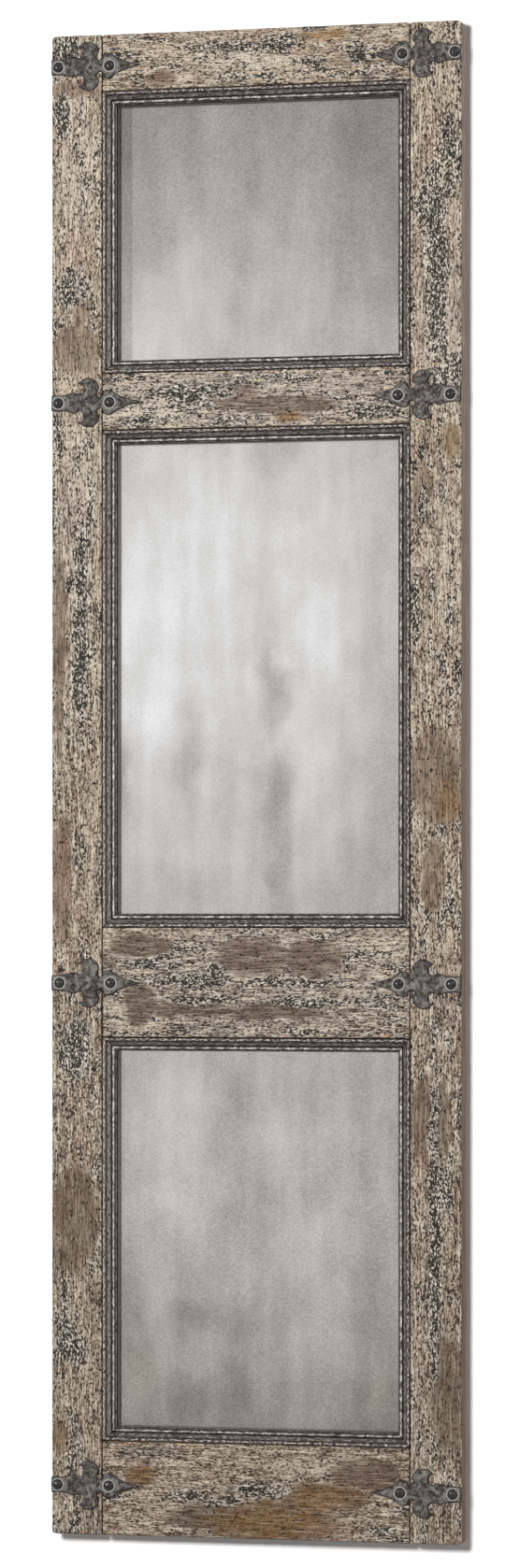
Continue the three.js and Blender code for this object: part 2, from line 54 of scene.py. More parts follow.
# %% Camera
camera_data = bpy.data.cameras.new("camera")
camera_data.sensor_fit = "VERTICAL"
camera_data.sensor_height = 36
camera_data.lens = 114.18
camera_data.shift_y = 0.0831
camera = bpy.data.objects.new("camera", camera_data)
camera.location = (1.4748, -6.4488, 0.8303)
camera.rotation_euler = (math.radians(90), 0, math.radians(12.94))
bpy.context.scene.collection.objects.link(camera)
bpy.context.scene.camera = camera
print("camera at", tuple(camera.location))

# %% [markdown]
# ## Modelling by hand, in code
#
# Every new piece starts from a primitive that is shaped in edit mode. An operator works on whatever is
# selected, so these few helpers deselect everything first and pick by name, place or normal. Sizes are
# written in millimetres, as on a maker's drawing, and turned into metres on the way in.

# %% Selecting and shaping
MM = 0.001


def only(*objects):
    """Selects these objects alone; the first is the active one."""
    bpy.ops.object.select_all(action="DESELECT")
    for obj in objects:
        obj.select_set(True)
    bpy.context.view_layer.objects.active = objects[0]
    return objects[0]


def named(name):
    """The new primitive, with its place and size moved into its mesh, under its own name."""
    obj = bpy.context.object
    only(obj)
    bpy.ops.object.transform_apply(location=True, rotation=True, scale=True)
    obj.name = obj.data.name = name
    return obj


def block(name, low, high):
    """A box from its low corner to its high corner, in millimetres."""
    low, high = Vector(low) * MM, Vector(high) * MM
    bpy.ops.object.select_all(action="DESELECT")
    bpy.ops.mesh.primitive_cube_add(size=1, location=(low + high) / 2, scale=high - low)
    return named(name)


def rod(name, radius, start, end, sides=16):
    """A round bar between two points, in millimetres."""
    start, end = Vector(start) * MM, Vector(end) * MM
    turn = (end - start).to_track_quat("Z", "Y").to_euler()
    bpy.ops.object.select_all(action="DESELECT")
    bpy.ops.mesh.primitive_cylinder_add(
        vertices=sides, radius=radius * MM, depth=(end - start).length,
        location=(start + end) / 2, rotation=turn,
    )
    return named(name)


def outline(name, points):
    """A flat face round the given points, in millimetres: a disc with each corner moved to its place."""
    bpy.ops.object.select_all(action="DESELECT")
    bpy.ops.mesh.primitive_circle_add(vertices=len(points), radius=1, fill_type="NGON")
    obj = named(name)
    for vertex, point in zip(obj.data.vertices, points):
        vertex.co = Vector(point) * MM
    return obj


def edit(obj, kind, wanted):
    """Opens obj in edit mode with only the wanted vertices, edges or faces picked."""
    only(obj)
    bpy.ops.object.mode_set(mode="EDIT")
    bpy.ops.mesh.select_mode(type=kind)
    bpy.ops.mesh.select_all(action="DESELECT")
    mesh = bmesh.from_edit_mesh(obj.data)
    for item in {"VERT": mesh.verts, "EDGE": mesh.edges, "FACE": mesh.faces}[kind]:
        if wanted(item):
            item.select_set(True)
    bmesh.update_edit_mesh(obj.data)


def leave_edit():
    bpy.ops.object.mode_set(mode="OBJECT")


def applied(obj, kind, **settings):
    """Gives obj a modifier and applies it at once."""
    only(obj)
    modifier = obj.modifiers.new(kind.lower(), kind)
    for name, value in settings.items():
        setattr(modifier, name, value)
    bpy.ops.object.modifier_apply(modifier=modifier.name)
    return obj


def joined(*objects):
    """One object from several, under the first one's name."""
    only(*objects)
    bpy.ops.object.join()
    return bpy.context.object


def cut_away(obj, cutters):
    """Takes the cutters' shapes out of obj, one at a time, as a bit or a chisel would."""
    for cutter in cutters:
        applied(obj, "BOOLEAN", operation="DIFFERENCE", object=cutter, solver="MANIFOLD")
        bpy.data.objects.remove(cutter)
    return obj


def own_copy(obj, name):
    """A copy with its own mesh."""
    copy = obj.copy()
    copy.data = obj.data.copy()
    copy.name = copy.data.name = name
    bpy.context.scene.collection.objects.link(copy)
    return copy


def placed(obj, matrix):
    """Moves a piece into place by its mesh, so that its object stays at the origin."""
    obj.matrix_world = matrix
    only(obj)
    bpy.ops.object.transform_apply(location=True, rotation=True, scale=True)
    return obj


def smooth(obj, angle=35):
    only(obj)
    bpy.ops.object.shade_smooth_by_angle(angle=math.radians(angle))
    return obj


def fitted(obj, body, slot, *nodes):
    """The piece rides on its body and stands for its CAD nodes; slot is not used."""
    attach(obj, body)
    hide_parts(*nodes)
    return obj


print("helpers ready")

# %% [markdown]
# ## Relief
#
# Nothing on this mirror is flat or straight: the boards were scraped, the iron was hammered, and the paint
# was brushed on by hand. A Displace modifier with a cloud texture gives that. The texture is laid out by an
# empty, whose scale is the size of one bump, longer along the grain than across it. The relief only ever
# cuts inwards, so that a piece never grows out of the place that the CAD model gives it.

# %% Relief
def clouds(name, basis="IMPROVED_PERLIN", depth=2):
    texture = bpy.data.textures.new(name, "CLOUDS")
    texture.noise_scale = 1
    texture.noise_depth = depth
    texture.noise_basis = basis
    return texture


SOFT_WAVES = clouds("soft_waves", depth=1)
ROUGH_GRAIN = clouds("rough_grain", depth=3)
HAMMER_MARKS = clouds("hammer_marks", basis="VORONOI_F1", depth=0)


def weathered(obj, texture, depth, bump, group=""):
    """Cuts relief into obj, at most depth deep; bump is one bump's size along X, Y and Z, in millimetres."""
    layout = bpy.data.objects.new("layout", None)
    bpy.context.scene.collection.objects.link(layout)
    layout.scale = Vector(bump) * MM
    bpy.context.view_layer.update()
    applied(
        obj, "DISPLACE", texture=texture, strength=depth * MM, mid_level=1, texture_coords="OBJECT",
        texture_coords_object=layout, vertex_group=group,
    )
    bpy.data.objects.remove(layout)
    return obj


def weigh(obj, name, weight):
    """Fills a vertex group with weight(place in millimetres)."""
    group = obj.vertex_groups.new(name=name)
    for vertex in obj.data.vertices:
        group.add([vertex.index], weight(vertex.co / MM), "REPLACE")
    return obj


print("relief textures:", SOFT_WAVES.name, ROUGH_GRAIN.name, HAMMER_MARKS.name)

# %% [markdown]
# ## The boards
#
# The frame is made of 34 mm boards: two stiles from top to bottom, and four rails between them on mortise
# and tenon joints. A box with bevelled edges would give the form, but its edges would be ruler straight. So
# each box is remeshed into small even faces, which relief can then work on: long waves from the plane,
# grain, and dents along the outer edges. The joints, the nail and screw holes and the pocket for the back
# panel are cut afterwards, so that they stay crisp.

# %% Sizes of the frame, in millimetres
HALF_WIDTH = 279.5
HEIGHT = 2007
FRONT, BACK = -17, 17
OPENING_HALF = 209.5
RAILS = {"bottom": (0, 127), "lower": (666, 813), "upper": (1477, 1553), "top": (1930, 2007)}
OPENINGS = {"bottom": (127, 666), "middle": (813, 1477), "top": (1553, 1930)}
CORNER_RADIUS = 5.5
EDGE_SOFTENING = 2.2
JOINT_GAP = 0.3
TENON_LENGTH, TENON_SHOULDER = 45, 14
TENON_DEPTHS = (-8, 2)
POCKET_RIM, POCKET_FLOOR = 40, 11.3
BOARD_FACE = 2.6
NAIL_BORE, SCREW_BORE = 1.7, 2.1
NAIL_DEPTH, PANEL_SCREW_DEPTH, HANGER_SCREW_DEPTH = 17.2, 6.2, 16.2

# %% Where the straps, nails and screws go
STRAP_END = 279.1
NAIL_SPACING = 70.5
STRAPS = {
    "top_left": (-1, 1963.8, 10), "top_right": (1, 1964.3, 9),
    "upper_left": (-1, 1514.2, 10), "upper_right": (1, 1514.6, 15),
    "lower_left": (-1, 738.5, 11.5), "lower_right": (1, 738.2, 14),
    "bottom_left": (-1, 67.2, 9), "bottom_right": (1, 67.7, 12),
}
nail_places = {
    f"{name}_strap_{which}_nail": (side * (STRAP_END - distance), height)
    for name, (side, height, outer) in STRAPS.items()
    for which, distance in (("outer", outer), ("inner", outer + NAIL_SPACING))
}
panel_screw_places = [(x, z) for z in (54.6, 1003.5, 1952.4) for x in (-224.9, 224.9)]
HANGER_X, HANGER_Y, HANGER_Z = 259.5, 20.85, 1745
hanger_screw_places = [(x, z) for x in (-HANGER_X, HANGER_X) for z in (1719, 1703)]
print(len(nail_places), "nails,", len(panel_screw_places) + len(hanger_screw_places), "screws")


# %% Holes, mortises and the pocket
def holes(low, high):
    """The nail and screw holes that fall inside a board, from low to high in X and Z."""
    drills = [(x, z, FRONT - 1, FRONT + NAIL_DEPTH, NAIL_BORE) for x, z in nail_places.values()]
    drills += [(x, z, POCKET_FLOOR - PANEL_SCREW_DEPTH, BACK + 1, SCREW_BORE) for x, z in panel_screw_places]
    drills += [(x, z, BACK - HANGER_SCREW_DEPTH, BACK + 1, SCREW_BORE) for x, z in hanger_screw_places]
    inside = [d for d in drills if low[0] < d[0] < high[0] and low[1] < d[1] < high[1]]
    return [rod("drill", radius, (x, start, z), (x, end, z), 12) for x, z, start, end, radius in inside]


def tenon(rail, side, gap=0):
    low, high = RAILS[rail]
    across = sorted((side * (OPENING_HALF - TENON_SHOULDER), side * (OPENING_HALF + TENON_LENGTH + gap)))
    return block(
        "tenon",
        (across[0], TENON_DEPTHS[0] - gap, low + TENON_SHOULDER - gap),
        (across[1], TENON_DEPTHS[1] + gap, high - TENON_SHOULDER + gap),
    )


def pocket():
    reach = HALF_WIDTH - POCKET_RIM
    return block("pocket", (-reach, POCKET_FLOOR, POCKET_RIM), (reach, BACK + 6, HEIGHT - POCKET_RIM))


# %% One board
def outside(point):
    """How near a point in millimetres is to the frame's outer rim, from 0 well inside to 1 on it."""
    gap = min(HALF_WIDTH - abs(point.x), point.z, HEIGHT - point.z)
    return max(0.0, 1 - gap / 6)


def on_rim(edge):
    """Whether an edge lies on the rim of the whole frame, along it."""
    places = [vertex.co / MM for vertex in edge.verts]
    across_depth = abs(places[0].y - places[1].y) > 1
    shared = [
        all(abs(abs(p.x) - HALF_WIDTH) < 0.01 for p in places),
        all(p.z < 0.01 for p in places),
        all(p.z > HEIGHT - 0.01 for p in places),
    ]
    return any(shared) and not across_depth


def is_corner(edge):
    """Whether an edge runs from front to back at a corner of the whole frame."""
    places = [vertex.co / MM for vertex in edge.verts]
    at_side = all(abs(abs(p.x) - HALF_WIDTH) < 0.01 for p in places)
    at_end = all(p.z < 0.01 or p.z > HEIGHT - 0.01 for p in places)
    return at_side and at_end and abs(places[0].y - places[1].y) > 1


def board(name, low, high, grain, tenons=(), cutters=()):
    wood = block(name, low, high)
    edit(wood, "EDGE", is_corner)
    bpy.ops.mesh.bevel(offset=CORNER_RADIUS * MM, segments=4)
    leave_edit()
    softened_rim(wood)
    if tenons:
        wood = joined(wood, *tenons)
    applied(wood, "REMESH", mode="VOXEL", voxel_size=BOARD_FACE * MM)
    weathered(wood, SOFT_WAVES, 0.35, [90 if axis != grain else 260 for axis in "XYZ"])
    weathered(wood, ROUGH_GRAIN, 0.35, [7 if axis != grain else 60 for axis in "XYZ"])
    weigh(wood, "rim", outside)
    weathered(wood, ROUGH_GRAIN, 1.1, (14, 14, 14), group="rim")
    cut_away(wood, cutters)
    return smooth(wood)


def softened_rim(wood):
    """Rounds the edges that run round the whole frame, front and back."""
    edit(wood, "EDGE", on_rim)
    bpy.ops.mesh.bevel(offset=EDGE_SOFTENING * MM, segments=2)
    leave_edit()


def stile(name, side):
    inner, outer = sorted((side * OPENING_HALF, side * HALF_WIDTH))
    low, high = (inner, FRONT, 0), (outer, BACK, HEIGHT)
    cutters = []
    cutters = [pocket(), *[tenon(rail, side, JOINT_GAP) for rail in RAILS]]
    cutters += holes((inner, 0), (outer, HEIGHT))
    return fitted(board(name + "_board", low, high, "Z", cutters=cutters), "frame", "painted_wood", name)


def rail(name):
    low, high = RAILS[name]
    end = OPENING_HALF - JOINT_GAP
    reach = OPENING_HALF + TENON_LENGTH
    cutters = []
    cutters = [pocket(), *holes((-reach, low), (reach, high))]
    wood = board(
        name + "_rail_board", (-end, FRONT, low), (end, BACK, high), "X",
        tenons=[tenon(name, -1), tenon(name, 1)], cutters=cutters,
    )
    return fitted(wood, "frame", "painted_wood", name + "_rail")


stiles = [stile("left_stile", -1), stile("right_stile", 1)]
rails = [rail(name) for name in RAILS]
for wood in stiles + rails:
    print(wood.name, len(wood.data.polygons), "faces")

# %% [markdown]
# ## The mouldings
#
# Each pane is framed by four strips with one section: a small outer bead, a cove that falls towards the
# glass, a thin groove and a broad inner bead. A real strip is run off in one length and mitred. So is this
# one: the section is a flat face, extruded to the strip's length, cut at 45 degrees by two bisecting
# planes, and divided along its length so that relief can make it uneven. Strips of the same length are
# copies.

# %% The section, from the edge of the opening towards the glass
MOULDING_WIDTH, MOULDING_BACK = 18, 7
BEAD_WIDTH, BEAD_RISE, BEAD_FOOT = 4.6, 1.5, 15.1
COVE_END, COVE_FLOOR = 10, 8.6
LIP = 2


def curve(points, steps):
    """Points on the Bezier curve with these 3 or 4 control points, without the first."""
    found = []
    for step in range(1, steps + 1):
        t = step / steps
        row = [Vector(p) for p in points]
        while len(row) > 1:
            row = [a.lerp(b, t) for a, b in zip(row, row[1:])]
        found.append(tuple(row[0]))
    return found


def moulding_section():
    points = [(0, -MOULDING_BACK), (MOULDING_WIDTH, -MOULDING_BACK), (MOULDING_WIDTH, LIP)]
    points += curve([(18, LIP), (18, 8.6), (12.2, 9.9), (11.2, 7.4)], 12)
    points += curve([(11.2, 7.4), (10.7, 6.9), (COVE_END, COVE_FLOOR)], 3)
    points += curve([(COVE_END, COVE_FLOOR), (5.9, 10.2), (BEAD_WIDTH, BEAD_FOOT)], 8)
    for step in range(1, 10):
        angle = math.pi * step / 10
        half = BEAD_WIDTH / 2
        points.append((half + half * math.cos(angle), BEAD_FOOT + BEAD_RISE * math.sin(angle)))
    return points + [(0, BEAD_FOOT)]


# %% One strip, lying along X with its outer edge on Z = 0
def strip_along_x(length):
    section = [(-length / 2 - 1, -front, inward) for inward, front in moulding_section()]
    strip = outline("strip", section)
    edit(strip, "FACE", lambda face: True)
    bpy.ops.mesh.extrude_region_move(TRANSFORM_OT_translate={"value": ((length + 2) * MM, 0, 0)})
    for end in (-1, 1):
        bpy.ops.mesh.select_all(action="SELECT")
        bpy.ops.mesh.bisect(
            plane_co=(end * length / 2 * MM, 0, 0), plane_no=(end, 0, 1), use_fill=True, clear_outer=True,
        )
    leave_edit()
    edit(strip, "EDGE", lambda edge: abs(edge.verts[0].co.x - edge.verts[1].co.x) > length / 2 * MM * 0.8)
    bpy.ops.mesh.subdivide(number_cuts=min(100, round(length / 6)))
    bpy.ops.mesh.select_all(action="SELECT")
    bpy.ops.mesh.normals_make_consistent(inside=False)
    leave_edit()
    return strip


# %% All twelve strips
def marked(strip, name, value):
    """Keeps a number at each point of the strip, for the paint to follow."""
    layer = strip.data.attributes.new(name, "FLOAT", "POINT")
    for vertex, kept in zip(strip.data.vertices, layer.data):
        kept.value = value(vertex.co / MM)
    return strip


strips_by_length = {}
mouldings = []
for pane, (low, high) in OPENINGS.items():
    middle = (low + high) / 2
    half_width, half_height = OPENING_HALF - JOINT_GAP, (high - low) / 2 - JOINT_GAP
    for edge, turn, half_length, reach in (
        ("bottom", 0, half_width, half_height), ("left", 90, half_height, half_width),
        ("top", 180, half_width, half_height), ("right", -90, half_height, half_width),
    ):
        length = 2 * half_length - 2 * JOINT_GAP
        if length not in strips_by_length:
            strips_by_length[length] = marked(strip_along_x(length), "inward", lambda p: p.z)
        strip = own_copy(strips_by_length[length], f"{pane}_{edge}_moulding_strip")
        marked(strip, "along", lambda p: p.x + 1000 * len(mouldings))
        # Painted light: the left strips are marked for more cream, so they come out lighter than the others,
        # as if lit more.
        marked(strip, "cream", lambda p: 0.85 if edge == "left" else 0.15)
        place = Matrix.Translation((0, 0, middle * MM)) @ Matrix.Rotation(math.radians(turn), 4, "Y")
        placed(strip, place @ Matrix.Translation((0, 0, -reach * MM)))
        across = "X" if edge in ("top", "bottom") else "Z"
        weathered(strip, ROUGH_GRAIN, 0.45, [4 if axis != across else 11 for axis in "XYZ"])
        smooth(strip, 50)
        mouldings.append(fitted(strip, "frame", "moulding_paint", f"{pane}_pane_{edge}_moulding"))
for strip in strips_by_length.values():
    bpy.data.objects.remove(strip)
print(len(mouldings), "mouldings,", sum(len(m.data.polygons) for m in mouldings), "faces")

# %% [markdown]
# ## The forged straps
#
# Each joint is covered by a strap of hammered iron: a squared end, two curled leaves, and a petal that runs
# out to a point. Its outline is drawn once and filled, extruded to the plate's thickness, remeshed fine
# enough for hammer marks, and copied. The marks are then cut into each copy where it lies, so no two straps
# are alike. Round each nail the iron stays flat, because the nail's head was driven down on it.

# %% The outline of half a strap, from its outer end to its tip
STRAP_LENGTH, STRAP_THICKNESS = 122.5, 2.5
STRAP_BACK = -17.3
STRAP_FACE = 0.62


def arc(centre, radius, start, end, steps=14):
    """Points round a centre; the angles are in half turns."""
    angles = [math.pi * (start + (end - start) * step / steps) for step in range(steps + 1)]
    return [(centre[0] + radius * math.cos(a), centre[1] + radius * math.sin(a)) for a in angles]


def strap_edge():
    points = [(0, 9)] + curve([(0, 9), (0, 11), (2, 11)], 4)
    points += [(8, 11), (15, 11)] + curve([(15, 11), (22, 11.4), (28, 14.6)], 8)
    points += arc((38.9, 17.6), 5.6, 1.2, 2.25)
    points += curve([points[-1], (44.2, 25), (39.8, 25.8), (36.4, 24.4)], 8)
    points += curve([(36.4, 24.4), (37, 27.2), (40.75, 29.05)], 5)[:-1]
    points += arc((51.5, 18.3), 15.2, 0.75, 0.02, 20)
    points += arc((67.3, 12.2), 4, 0.7, 2.05)
    points += arc((78.5, 4.5), 12.8, 0.7, 0.25)
    eighth = 12.8 * math.sqrt(0.5)
    taper = 78.5 + eighth
    tip = (STRAP_LENGTH, 1.2)
    return points + curve([(taper, 4.5 + eighth), (taper + 6.4, 8.34), (109.7, 3.6), tip], 14)


strap_outline = [(x, -y) for x, y in strap_edge()][::-1] + strap_edge()
print("strap outline:", len(strap_outline), "points")


# %% The plate, hammered once it lies in its place
def blank_strap():
    plate = outline("strap", [(x, STRAP_BACK, y) for x, y in strap_outline])
    edit(plate, "FACE", lambda face: True)
    bpy.ops.mesh.extrude_region_move(TRANSFORM_OT_translate={"value": (0, -STRAP_THICKNESS * MM, 0)})
    bpy.ops.mesh.select_all(action="SELECT")
    bpy.ops.mesh.normals_make_consistent(inside=False)
    leave_edit()
    applied(plate, "REMESH", mode="VOXEL", voxel_size=STRAP_FACE * MM)
    applied(plate, "SMOOTH", factor=0.5, iterations=4)
    return plate


def measured(plate, edge_finder, nails):
    """Keeps each point's distance from the plate's edge and from the nearest nail, in millimetres."""
    from_edge = plate.data.attributes.new("from_edge", "FLOAT", "POINT")
    from_nail = plate.data.attributes.new("from_nail", "FLOAT", "POINT")
    for index, vertex in enumerate(plate.data.vertices):
        place = vertex.co / MM
        from_edge.data[index].value = edge_finder.find((place.x, 0, place.z))[2]
        from_nail.data[index].value = min(math.hypot(place.x - x, place.z - z) for x, z in nails)
    return plate


def edge_finder_for(matrix):
    """Finds the nearest point of the strap's outline, with the outline in its place."""
    dense = []
    for a, b in zip(strap_outline, strap_outline[1:] + strap_outline[:1]):
        steps = max(1, round(math.dist(a, b) / 0.4))
        dense += [(a[0] + (b[0] - a[0]) * s / steps, a[1] + (b[1] - a[1]) * s / steps) for s in range(steps)]
    finder = KDTree(len(dense))
    for index, (x, z) in enumerate(dense):
        spot = matrix @ (Vector((x, 0, z)) * MM) / MM
        finder.insert((spot.x, 0, spot.z), index)
    finder.balance()
    return finder


blank = blank_strap()
straps = []
for name, (side, height, outer) in STRAPS.items():
    matrix = Matrix.Translation((side * STRAP_END * MM, 0, height * MM))
    if side > 0:
        matrix = matrix @ Matrix.Rotation(math.pi, 4, "Y")
    plate = placed(own_copy(blank, name + "_strap_plate"), matrix)
    nails = [nail_places[f"{name}_strap_{which}_nail"] for which in ("outer", "inner")]
    measured(plate, edge_finder_for(matrix), nails)
    weigh(plate, "hammered", lambda p: min(
        1.0, max(0.0, min(math.hypot(p.x - x, p.z - z) for x, z in nails) / 2 - 4.2)
    ))
    weathered(plate, HAMMER_MARKS, 0.7, (9, 9, 9), group="hammered")
    weathered(plate, ROUGH_GRAIN, 0.5, (5, 5, 5), group="hammered")
    drills = [rod("drill", NAIL_BORE, (x, -22, z), (x, -15, z), 20) for x, z in nails]
    cut_away(plate, drills)
    smooth(plate, 60)
    straps.append(fitted(plate, "frame", "forged_iron", name + "_strap"))
bpy.data.objects.remove(blank)
print(len(straps), "straps,", len(straps[0].data.polygons), "faces each")

# %% [markdown]
# ## Nails and screws
#
# A nail and a screw are turned shapes: half of the side view is drawn as a chain of points, and Spin
# carries it round the axis. Each nail's dome is then hammered a little in its own place. The screws get a
# cross recess, and each is turned by its own angle, as the screwdriver left it.


# %% Turned pieces
def turned(name, profile, steps):
    """Spins a profile of (radius, height) round Z, from its foot on the axis to its top on the axis."""
    chain = outline(name, [(radius, 0, height) for radius, height in profile])
    edit(chain, "FACE", lambda face: True)
    bpy.ops.mesh.delete(type="ONLY_FACE")
    leave_edit()
    closing = {0, len(profile) - 1}
    edit(chain, "EDGE", lambda edge: {v.index for v in edge.verts} == closing)
    bpy.ops.mesh.delete(type="EDGE")
    bpy.ops.mesh.select_all(action="SELECT")
    bpy.ops.mesh.spin(steps=steps, angle=2 * math.pi, center=(0, 0, 0), axis=(0, 0, 1))
    bpy.ops.mesh.select_all(action="SELECT")
    bpy.ops.mesh.remove_doubles(threshold=0.001 * MM)
    bpy.ops.mesh.normals_make_consistent(inside=False)
    leave_edit()
    return chain


TO_FRONT = Matrix.Rotation(math.radians(90), 4, "X")
TO_BACK = Matrix.Rotation(math.radians(-90), 4, "X")

dome = [(6.8 * math.cos(a), 4.2 * math.sin(a)) for a in [math.pi / 2 * step / 12 for step in range(13)]]
dome[0], dome[-1] = (6.55, 0.45), (0, 4.2)
nail_profile = [(0, -20), (1.4, -16), (1.4, -8), (1.4, 0), (4, 0), (6.4, 0)] + dome
nail_master = turned("nail", nail_profile, 36)

nails = []
for index, (name, (x, z)) in enumerate(nail_places.items()):
    nail = own_copy(nail_master, name.replace("_nail", "_dome_nail"))
    spin = Matrix.Rotation(index * 0.7, 4, "Z")
    placed(nail, Matrix.Translation((x * MM, -20.1 * MM, z * MM)) @ TO_FRONT @ spin)
    weathered(nail, HAMMER_MARKS, 0.3, (5, 5, 5))
    smooth(nail, 60)
    nails.append(fitted(nail, "frame", "nail_iron", name))
bpy.data.objects.remove(nail_master)
print(len(nails), "nails,", len(nails[0].data.polygons), "faces each")


# %% Screws
def screw_master(length):
    head = curve([(3.6, 0.9), (3.6, 2.2), (1.8, 2.2)], 6)
    shank = [(0, -length), (1.8, 3 - length), (1.8, 0)]
    profile = shank + [(3.4, 0), (3.6, 0.2), (3.6, 0.9)] + head + [(0, 2.2)]
    screw = turned("screw", profile, 32)
    slots = [block("slot", (-1.8, -0.45, 1), (1.8, 0.45, 3)), block("slot", (-0.45, -1.8, 1), (0.45, 1.8, 3))]
    return cut_away(screw, slots)


def screws(prefix, places, length, seat):
    master = screw_master(length)
    made = []
    for index, (x, z) in enumerate(places, start=1):
        screw = own_copy(master, f"{prefix}_{index}_turned")
        spin = Matrix.Rotation(index * 1.1, 4, "Z")
        placed(screw, Matrix.Translation((x * MM, seat * MM, z * MM)) @ TO_BACK @ spin)
        smooth(screw, 40)
        made.append(fitted(screw, "frame", "zinc", f"{prefix}_{index}"))
    bpy.data.objects.remove(master)
    return made


screw_pieces = screws("panel_screw", panel_screw_places, 11.5, 16.9)
screw_pieces += screws("hanger_screw", hanger_screw_places, 18, 18.8)
print(len(screw_pieces), "screws")

# %% [markdown]
# ## The D-ring hangers
#
# On the back, two plates of sheet steel are rolled over at the top into an eye, and a ring of round wire
# turns in each eye. The ring is one length of wire, so it is made as one: a round section is carried along
# the bar, spun round each bend, and closed on itself.


# %% A ring: section, bends and straight runs
RING_WIRE, RING_REACH, RING_BEND, RING_LEG = 1.75, 11.25, 2.3, 7


def forward(x, z):
    bpy.ops.mesh.extrude_region_move(TRANSFORM_OT_translate={"value": (x * MM, 0, z * MM)})


def bend(angle, x, z, steps):
    """Carries the open end round a bend. Spin turns clockwise round its axis, so the axis points along -Y."""
    bpy.ops.mesh.spin(
        steps=steps, angle=math.radians(angle), center=(x * MM, 0, z * MM), axis=(0, -1, 0),
    )


def ring_shape(name):
    bpy.ops.object.select_all(action="DESELECT")
    bpy.ops.mesh.primitive_circle_add(
        vertices=16, radius=RING_WIRE * MM, fill_type="NOTHING", rotation=(0, math.radians(90), 0),
    )
    ring = named(name)
    straight = RING_REACH - RING_BEND
    edit(ring, "EDGE", lambda edge: True)
    forward(straight, 0)
    bend(90, straight, -RING_BEND, 6)
    forward(0, -(RING_LEG - RING_BEND))
    bend(180, 0, -RING_LEG, 28)
    forward(0, RING_LEG - RING_BEND)
    bend(90, -straight, -RING_BEND, 6)
    forward(straight, 0)
    bpy.ops.mesh.select_all(action="SELECT")
    bpy.ops.mesh.remove_doubles(threshold=0.01 * MM)
    bpy.ops.mesh.normals_make_consistent(inside=False)
    leave_edit()
    return ring


# %% A plate with its rolled eye
PLATE_WIDTH, PLATE_LENGTH, PLATE_THICKNESS, EYE_RADIUS, EYE_HOLE = 16, 52, 1.5, 3.55, 2.05


def plate_shape(name):
    half = PLATE_WIDTH / 2
    front = -EYE_RADIUS
    leaf = block(name, (-half, front, -PLATE_LENGTH), (half, front + PLATE_THICKNESS, 0))
    edit(leaf, "EDGE", lambda edge: all(v.co.z < -0.05 for v in edge.verts) and abs(
        edge.verts[0].co.y - edge.verts[1].co.y) > 1 * MM)
    bpy.ops.mesh.bevel(offset=2.5 * MM, segments=6)
    leave_edit()
    eye = rod("eye", EYE_RADIUS, (-half, 0, 0), (half, 0, 0), 40)
    applied(leaf, "BOOLEAN", operation="UNION", object=eye, solver="MANIFOLD")
    bpy.data.objects.remove(eye)
    bores = [rod("bore", EYE_HOLE, (-half - 1, 0, 0), (half + 1, 0, 0), 32)]
    bores += [rod("bore", SCREW_BORE, (0, -8, z), (0, 8, z), 24) for z in (-26, -42)]
    cut_away(leaf, bores)
    applied(leaf, "BEVEL", width=0.25 * MM, segments=2, limit_method="ANGLE", angle_limit=math.radians(40))
    return leaf


# %% Both hangers, in place
plate_master, ring_master = plate_shape("plate"), ring_shape("ring")
hangers = []
for name, side in (("left", -1), ("right", 1)):
    matrix = Matrix.Translation(Vector((side * HANGER_X, HANGER_Y, HANGER_Z)) * MM)
    plate = placed(own_copy(plate_master, name + "_hanger_leaf_and_eye"), matrix)
    ring = placed(own_copy(ring_master, name + "_hanger_wire_ring"), matrix)
    hangers.append(fitted(smooth(plate), "frame", "zinc", name + "_hanger_plate"))
    hangers.append(fitted(smooth(ring, 60), name + "_ring", "zinc", name + "_hanger_ring"))
bpy.data.objects.remove(plate_master)
bpy.data.objects.remove(ring_master)
print([piece.name for piece in hangers])

# %% [markdown]
# ## Mixing finishes
#
# A finish is a graph of nodes. These helpers add one node each and pass sockets on, so that a finish reads
# from top to bottom like a painter's notes. Colours are written as they look, from 0 to 255, and turned
# into the linear values that the shader wants. Every pattern is laid out in millimetres on the mirror
# itself.


# %% A small kit for node graphs
def shade(red, green, blue):
    """A colour as it looks, from 0 to 255, as the shader wants it."""
    channels = [value / 255 for value in (red, green, blue)]
    linear = [c / 12.92 if c <= 0.04045 else ((c + 0.055) / 1.055) ** 2.4 for c in channels]
    return (*linear, 1)


